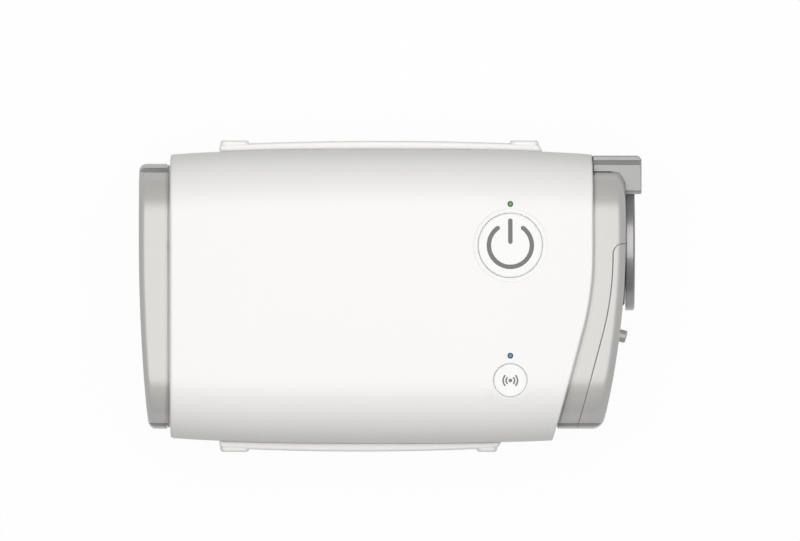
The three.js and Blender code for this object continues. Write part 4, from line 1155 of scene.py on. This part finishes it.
def hose_guard():
    """The block beside the outlet that keeps the hose from being knocked."""
    left = outlet_edge_at(guard_high.y) + guard_step
    right = guard_high.x
    front = guard_low.y
    back = guard_high.y - guard_inset
    bm = box((left, front, guard_low.z), (right, back, guard_high.z))
    outside = {vert for vert in bm.verts if vert.co.x > outlet_face and vert.co.y > plug_half_width}
    corner = [edge for edge in bm.edges if all(vert in outside for vert in edge.verts)]
    bevel(bm, corner, guard_chamfer, segments=1)
    piece = piece_from(bm, "guard_block", "machine", "ends", "hose_guard", finish="guard")
    round_edges(piece, guard_edge, segments=3)
    # The guard's slots and front ledge are cut with faces painted dark grey: painted shade.
    slots = []
    for top in (guard_high.z, guard_low.z):
        low = (left - overrun, guard_slot_near, top - guard_slot_depth)
        slots.append(box(low, (right + overrun, guard_slot_far, top + guard_slot_depth)))
    low = (left - overrun, front - overrun, guard_high.z - guard_fall)
    slots.append(box(low, (right + overrun, front + guard_fall, guard_high.z + overrun)))
    combine(piece, [tool(slot, "slot", finishes["painted_shade"]) for slot in slots])
    rows = []
    for share in run_steps(guard_room_steps):
        rows.append([skin_point(spot, lambda y: 0.0, None, share, guard_clearance) for spot in end_spots()])
    room = tool(closed_block(rows), "cap_room")
    collar_room = outlet_bore(
        collar_radius + guard_clearance, right + overrun, outlet_y, "collar_room", ring_sides,
    )
    combine(piece, [room, collar_room])
    even_shading(piece)


def power_socket():
    low, high, middle, radius = round_box("power_socket")
    floor = high.x - socket_floor
    profile = [(socket_pin_hole, low.x), (radius, low.x), (radius, high.x - socket_edge)]
    profile += outer_top(radius, high.x, socket_edge) + inner_top(socket_bore, high.x, socket_edge)
    profile += [(socket_bore, floor), (socket_pin_hole, floor)]
    bm = turned(profile, fitting_sides, middle[1:], "X", closed=True)
    even_shading(piece_from(bm, "socket_body", "machine", "inner", "power_socket"))


def socket_pin():
    low, high, middle, radius = round_box("power_socket_pin")
    profile = [(0, low.x), (radius, low.x)] + outer_top(radius, high.x, radius, steps=6)
    bm = turned(profile, pin_sides, middle[1:], "X")
    even_shading(piece_from(bm, "socket_contact", "machine", "steel", "power_socket_pin"))


# Buttons and lights

def button(name, symbol):
    """A round keycap with a soft edge and a faintly hollow face, and the mark on it."""
    low, high, (_, y, _), _ = round_box(name + "_button")
    radius = controls[name]["radius"]
    face = radius - keycap_edge
    plate_low = high.z - keycap_plate
    skirt = radius - keycap_skirt
    boss = controls[name]["neck"] - boss_gap
    flange = radius + flange_width
    profile = [(0, low.z), (boss, low.z), (boss, plate_low), (skirt, plate_low)]
    profile += [(skirt, low.z + flange_low), (flange, low.z + flange_low)]
    profile += [(flange, low.z + flange_high), (radius, low.z + flange_high)]
    profile += outer_top(radius, high.z, keycap_edge, steps=6)
    profile += [(share * face, high.z - keycap_hollow * (1 - share**2)) for share in crown_shares]
    body = name + "_button_body"
    bm = turned(profile, ring_sides, (controls_x, y))
    even_shading(piece_from(bm, name + "_keycap", body, "button", name + "_button"))
    bm = symbol(y, high.z - mark_depth, high.z)
    for vert in bm.verts:
        if vert.co.z > high.z - mark_rise:
            share = math.hypot(vert.co.x - controls_x, vert.co.y - y) / face
            vert.co.z = high.z - keycap_hollow * (1 - share**2) + mark_rise
    piece_from(bm, name + "_symbol", body, "inner", finish="mark")


def bent_stroke(y, radius, width, start, end, steps):
    """Outline of a bent stroke with round ends, angles in degrees, anticlockwise."""
    half = width / 2
    outline = arc(controls_x, y, radius + half, start, end, steps)
    outline += round_end(y, radius, half, end, end)
    outline += arc(controls_x, y, radius - half, end, start, steps)
    return outline + round_end(y, radius, half, start, start + 180)


def round_end(y, radius, half, at, start):
    """The round end of a stroke: half a circle less its two ends."""
    x0 = controls_x + radius * math.cos(math.radians(at))
    y0 = y + radius * math.sin(math.radians(at))
    return arc(x0, y0, half, start, start + 180, stroke_end_steps)[1:-1]


def power_symbol(y, low, high):
    """The common standby mark: a ring open at the top with an upright bar."""
    ring = bent_stroke(y, power_ring, power_stroke, power_ring_start, power_ring_end, power_ring_steps)
    bm = plate(ring, low, high)
    half = power_stroke / 2
    bar = arc(controls_x, y + power_bar_head - half, half, 0, 180, power_bar_steps)
    bar += arc(controls_x, y + power_bar_foot + half, half, 180, 360, power_bar_steps)
    join(bm, plate(bar, low, high))
    return bm


def pairing_symbol(y, low, high):
    """A dot with two short waves on each side."""
    bm = rod(pairing_dot, low, high, controls_x, y, dot_sides)
    for radius in pairing_waves:
        for middle in (0, 180):
            start = middle - pairing_wave_half
            end = middle + pairing_wave_half
            wave = bent_stroke(y, radius, pairing_stroke, start, end, pairing_wave_steps)
            join(bm, plate(wave, low, high))
    return bm


def light_pipe(name):
    """A clear pin that carries the light of a lamp on the board to the crown."""
    low, high, (_, y, _), radius = round_box(name + "_light_pipe")
    profile = [(0, low.z), (radius, low.z), (radius, high.z - light_edge)]
    profile += outer_top(radius, high.z, light_edge) + [(0, high.z)]
    bm = turned(profile, pin_sides, (controls_x, y))
    piece_from(bm, name + "_light", "machine", controls[name]["lamp"], name + "_light_pipe")


def silicone_dome(name):
    """The soft dome that lifts a button."""
    low, high, (_, y, _), outer = round_box(name + "_dome")
    inner = outer - dome_wall
    neck = controls[name]["neck"]
    neck_outer = neck + dome_wall
    shoulder = low.z + dome_shoulder
    profile = [(inner, low.z), (outer, low.z), (outer, shoulder)]
    profile += [(neck_outer, shoulder + dome_wall), (neck_outer, high.z - dome_edge)]
    profile += outer_top(neck_outer, high.z, dome_edge)
    profile += [(neck, high.z), (neck, shoulder + dome_wall / 2), (inner, shoulder - dome_wall / 2)]
    bm = turned(profile, fitting_sides, (controls_x, y), closed=True)
    piece = piece_from(bm, name + "_dome_moulding", "machine", "silicone", name + "_dome")
    even_shading(piece)
    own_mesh(piece)


# Materials

class Value:
    """A socket that can be used in sums: each operator adds the Math node that it needs."""

    def __init__(self, finish, socket):
        self.finish = finish
        self.socket = socket

    def maths(self, operation, first, second):
        made = self.finish.node("ShaderNodeMath", {"operation": operation}, {0: first, 1: second})
        return Value(self.finish, made.outputs[0])

    def __add__(self, other):
        return self.maths("ADD", self, other)

    def __radd__(self, other):
        return self.maths("ADD", other, self)

    def __sub__(self, other):
        return self.maths("SUBTRACT", self, other)

    def __rsub__(self, other):
        return self.maths("SUBTRACT", other, self)

    def __mul__(self, other):
        return self.maths("MULTIPLY", self, other)

    def __rmul__(self, other):
        return self.maths("MULTIPLY", other, self)


class Finish:
    """A material made of nodes, whose plain values are set on its shader."""

    def __init__(self, name, **plain):
        self.material = bpy.data.materials.new(name)
        self.material.use_nodes = True
        self.tree = self.material.node_tree
        self.shader = self.tree.nodes["Principled BSDF"]
        for socket, value in plain.items():
            self.shader.inputs[socket.replace("_", " ")].default_value = value
        self.place = self.node("ShaderNodeTexCoord", {}, {}).outputs["Object"]

    def node(self, kind, settings, sockets):
        """Adds a node: its settings first, then the values or links of its sockets."""
        made = self.tree.nodes.new(kind)
        for name, value in settings.items():
            setattr(made, name, value)
        for name, value in sockets.items():
            self.feed(made.inputs[name], value)
        return made

    def feed(self, socket, value):
        if isinstance(value, Value):
            value = value.socket
        if isinstance(value, bpy.types.NodeSocket):
            self.tree.links.new(value, socket)
        else:
            socket.default_value = value

    def noise(self, scale, detail, roughness=0.5, distortion=0.0):
        """Noise from 0 to 1 whose blotches are 1 / scale metres across."""
        made = self.node("ShaderNodeTexNoise", {}, {
            "Vector": self.place, "Scale": scale, "Detail": detail, "Roughness": roughness,
            "Distortion": distortion,
        })
        return Value(self, made.outputs["Fac"])

    def pattern(self, kind, settings, output, **sockets):
        """Any other texture on the object's own coordinates."""
        named = {socket.replace("_", " "): value for socket, value in sockets.items()}
        made = self.node(kind, settings, {"Vector": self.place, **named})
        return Value(self, made.outputs[output])

    def tint(self, share, colour, dark, light):
        """The colour times dark where the share is 0 and times light where it is 1."""
        return self.mix(share, shade(colour, dark), shade(colour, light))

    def mix(self, share, first, second):
        made = self.node(
            "ShaderNodeMix", {"data_type": "RGBA", "clamp_factor": True}, {0: share, 6: first, 7: second},
        )
        return made.outputs[2]

    def surface(self, colour, roughness, height=None, depth=0.0):
        """Feeds the shader what changes over the surface, and gives the material."""
        self.feed(self.shader.inputs["Base Color"], colour)
        self.feed(self.shader.inputs["Roughness"], roughness)
        if height:
            made = self.node("ShaderNodeBump", {}, {"Height": height, "Distance": depth, "Strength": 1.0})
            self.feed(self.shader.inputs["Normal"], made.outputs["Normal"])
        return self.material


def linear(red, green, blue):
    """A colour given as it shows on a screen, from 0 to 255, as the shader wants it."""
    channels = []
    for share in (red / 255, green / 255, blue / 255):
        channels.append(share / 12.92 if share <= 0.04045 else ((share + 0.055) / 1.055) ** 2.4)
    return (*channels, 1)


def shade(colour, factor):
    return tuple(min(1, channel * factor) for channel in colour[:3]) + (1,)


def moulded_plastic(name, colour, roughness, grain=0.25 * MM, depth=0.004 * MM, **plain):
    """Injection moulded plastic: a fine sparked grain, faint flow marks and a little uneven gloss."""
    finish = Finish(name, **plain)
    flow = finish.noise(scale=22, detail=3)
    fine = finish.noise(scale=1 / grain, detail=2, roughness=0.6)
    specks = finish.noise(scale=900, detail=2)
    marked = finish.tint(flow, colour, dark=0.985, light=1.01)
    speckled = finish.mix(specks * 0.12, marked, shade(colour, 0.96))
    gloss = (flow - 0.5) * 0.06 + (fine - 0.5) * 0.08 + roughness
    return finish.surface(speckled, gloss, fine * 0.7 + specks * 0.3, depth)


def gloss_plastic(name, colour, roughness):
    """Polished plastic with a faint orange peel."""
    finish = Finish(name, Metallic=0.45, Coat_Weight=0.3, Coat_Roughness=0.08)
    peel = finish.noise(scale=420, detail=1)
    dust = finish.noise(scale=2600, detail=3, roughness=0.7)
    dusty = finish.tint(dust * 0.2, colour, dark=1, light=1.15)
    return finish.surface(dusty, (dust - 0.5) * 0.1 + roughness, peel, 0.003 * MM)


def soft_rubber(name, colour):
    finish = Finish(name, Sheen_Weight=0.15)
    cloud = finish.noise(scale=160, detail=4)
    fine = finish.noise(scale=5200, detail=2)
    clouded = finish.tint(cloud, colour, dark=0.93, light=1.05)
    return finish.surface(clouded, cloud * 0.1 + 0.7, fine, 0.006 * MM)


def silicone(name, colour):
    finish = Finish(name, Subsurface_Weight=0.1, Subsurface_Scale=1 * MM)
    cloud = finish.noise(scale=240, detail=3)
    fine = finish.noise(scale=3600, detail=2)
    clouded = finish.tint(cloud, colour, dark=0.95, light=1.06)
    return finish.surface(clouded, cloud * 0.1 + 0.42, fine, 0.003 * MM)


def open_foam(name, colour):
    finish = Finish(name)
    cells = finish.pattern("ShaderNodeTexVoronoi", {}, "Distance", Scale=1400)
    cloud = finish.noise(scale=180, detail=3)
    # Darker in the low middles of the cells: painted shade in the pits.
    pit_shaded = finish.tint(cells, colour, dark=0.5, light=1.5)
    return finish.surface(pit_shaded, cloud * 0.1 + 0.85, cells, 0.25 * MM)


def felt(name, colour):
    """Pressed filter fibre."""
    finish = Finish(name, Sheen_Weight=0.2)
    fibres = finish.noise(scale=2400, detail=6, roughness=0.75, distortion=1.5)
    cloud = finish.noise(scale=220, detail=3)
    fibrous = finish.tint(fibres, colour, dark=0.86, light=1)
    return finish.surface(fibrous, cloud * 0.08 + 0.86, fibres, 0.08 * MM)


def metal(name, colour, roughness):
    """Plated metal, finely scratched."""
    finish = Finish(name, Metallic=1.0)
    streaks = finish.noise(scale=700, detail=5, roughness=0.7, distortion=0.4)
    stain = finish.noise(scale=120, detail=3)
    stained = finish.tint(stain, colour, dark=0.9, light=1.05)
    return finish.surface(stained, streaks * 0.16 + roughness, streaks, 0.004 * MM)


def windings(name, colour):
    """Enamelled copper wire wound on a laminated core."""
    finish = Finish(name, Metallic=0.9)
    turns = finish.pattern(
        "ShaderNodeTexWave", {"bands_direction": "Z"}, "Fac", Scale=600, Distortion=0.6, Detail=1,
    )
    # Darker in the low grooves between the turns: painted shade.
    groove_shaded = finish.tint(turns, colour, dark=0.45, light=1.1)
    return finish.surface(groove_shaded, turns * 0.1 + 0.3, turns, 0.15 * MM)


def solder_mask(name, colour):
    """A green board with buried tracks."""
    finish = Finish(name, Coat_Weight=0.3)
    lines = finish.pattern("ShaderNodeTexBrick", {}, "Fac", Scale=160, Mortar_Size=0.03, Mortar_Smooth=0.4)
    grain = finish.noise(scale=1800, detail=2)
    tracked = finish.tint(lines * 0.6, colour, dark=1, light=1.7)
    return finish.surface(tracked, grain * 0.1 + 0.35, lines, 0.03 * MM)


def lamp_lens(name, colour, glow):
    """A coloured lens with a faint glow."""
    finish = Finish(name, Coat_Weight=0.6, Emission_Strength=glow)
    cloud = finish.noise(scale=1500, detail=2)
    lit = finish.tint(cloud, colour, dark=0.9, light=1.1)
    finish.feed(finish.shader.inputs["Emission Color"], lit)
    return finish.surface(finish.tint(cloud, colour, dark=0.85, light=1.15), cloud * 0.1 + 0.2)


def make_finishes():
    """The finishes by the names of the slots, and those of the painted shade in slots and ledges, the guard
    and the marks.
    """
    return {
        "shell": moulded_plastic("satin_white_plastic", linear(250, 249, 247), 0.42),
        "ends": moulded_plastic("satin_grey_plastic", linear(198, 197, 194), 0.3, Metallic=0.13),
        # Painted shade: the dark grey on the faces of the shoulder slots and ledges and of the guard's slots.
        "painted_shade": moulded_plastic("painted_shade_plastic", linear(152, 152, 150), 0.5),
        "guard": moulded_plastic("shaded_grey_plastic", linear(166, 166, 165), 0.4, Metallic=0.12),
        "collar": gloss_plastic("gloss_grey_plastic", linear(150, 151, 151), 0.32),
        "button": moulded_plastic(
            "keycap_plastic", linear(250, 250, 248), 0.36, grain=0.16 * MM, depth=0.002 * MM,
        ),
        "mark": moulded_plastic(
            "grey_mark_ink", linear(116, 116, 114), 0.5, grain=0.12 * MM, depth=0.002 * MM,
        ),
        "rubber": soft_rubber("pale_rubber", linear(196, 196, 194)),
        "silicone": silicone("grey_silicone", linear(188, 197, 204)),
        "foam": open_foam("acoustic_foam", linear(96, 100, 104)),
        "filter": felt("filter_felt", linear(238, 237, 230)),
        "inner": moulded_plastic(
            "dark_glass_filled_plastic", linear(56, 59, 62), 0.55, grain=0.4 * MM, depth=0.01 * MM,
        ),
        "steel": metal("zinc_plated_steel", linear(203, 204, 206), 0.24),
        "copper": windings("copper_windings", linear(190, 116, 60)),
        "board": solder_mask("green_solder_mask", linear(34, 108, 58)),
        "chip": moulded_plastic("chip_resin", linear(30, 31, 33), 0.5, grain=0.2 * MM, depth=0.004 * MM),
        "green_light": lamp_lens("green_lens", linear(56, 122, 46), 0.25),
        "blue_light": lamp_lens("blue_lens", linear(44, 96, 128), 0.25),
    }


def dress_carried_nodes():
    """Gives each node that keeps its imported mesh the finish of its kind."""
    slots = {part["node"]: part["material_slot"] for part in frame["record"]["subparts"]}
    for name, node in frame["nodes"].items():
        node.data.materials.clear()
        node.data.materials.append(finishes[slots[name]])


# Stage, light and camera

def photo_floor():
    """A plain pale floor: white to the eye of the camera, with the object's soft shadow on it."""
    bm = bmesh.new()
    bmesh.ops.create_grid(bm, x_segments=1, y_segments=1, size=floor_reach)
    finish = Finish("pale_floor", Roughness=0.9)
    finish.feed(finish.shader.inputs["Base Color"], linear(floor_tone, floor_tone, floor_tone))
    rays = finish.node("ShaderNodeLightPath", {}, {})
    seen = Value(finish, rays.outputs["Is Camera Ray"]) + Value(finish, rays.outputs["Is Glossy Ray"])
    seen = seen + Value(finish, rays.outputs["Is Transmission Ray"])
    glow = finish.node("ShaderNodeEmission", {}, {"Color": (1, 1, 1, 1), "Strength": floor_white})
    share = seen.maths("MINIMUM", seen * floor_glow, floor_glow)
    blend = finish.node("ShaderNodeMixShader", {}, {
        0: share, 1: finish.shader.outputs[0], 2: glow.outputs[0],
    })
    finish.feed(finish.tree.nodes["Material Output"].inputs["Surface"], blend.outputs[0])
    mesh_object(bm, "floor", finish.material)


def room_light():
    """Even light from all round."""
    world = bpy.data.worlds.new("studio")
    bpy.context.scene.world = world
    world.use_nodes = True
    even = world.node_tree.nodes["Background"]
    even.inputs["Color"].default_value = (1, 1, 1, 1)
    even.inputs["Strength"].default_value = room_strength


def overhead_lamp():
    """A rectangular soft box that faces straight down."""
    light = bpy.data.lights.new("overhead", "AREA")
    light.shape = "RECTANGLE"
    light.size = lamp_width
    light.size_y = lamp_depth
    light.energy = lamp_power
    add_object("overhead", light).location = (0, lamp_y, lamp_height)


def photo_camera():
    """The photograph's view: straight down, tipped a little so that the back walls show."""
    view = bpy.data.cameras.new("photo_camera")
    view.lens = camera_lens
    view.sensor_width = camera_sensor
    view.clip_end = camera_reach
    camera = add_object("photo_camera", view)
    distance = photo_width * photo_scale * camera_lens / camera_sensor
    aim = Vector((photo_centre_x, photo_centre_y, photo_sharp_height))
    camera.location = aim + distance * Vector((0, math.sin(photo_tilt), math.cos(photo_tilt)))
    camera.rotation_euler = (-photo_tilt, 0, 0)
    bpy.context.scene.camera = camera


def build():
    upper_case()
    lower_case()
    rail("back_rail", 1)
    rail("front_rail", -1)
    for place in places:
        foot(place)
    for place in places:
        case_screw(place)
    filter_cover()
    filter_frame()
    filter_pad()
    outlet_end_cap()
    port_panel()
    outlet_collar()
    outlet_seal()
    hose_guard()
    power_socket()
    socket_pin()
    button("power", power_symbol)
    button("pairing", pairing_symbol)
    for name in controls:
        light_pipe(name)
    for name in controls:
        silicone_dome(name)
    dress_carried_nodes()


finishes = make_finishes()
build()
photo_floor()
room_light()
overhead_lamp()
photo_camera()
bpy.context.scene.view_settings.view_transform = "Standard"
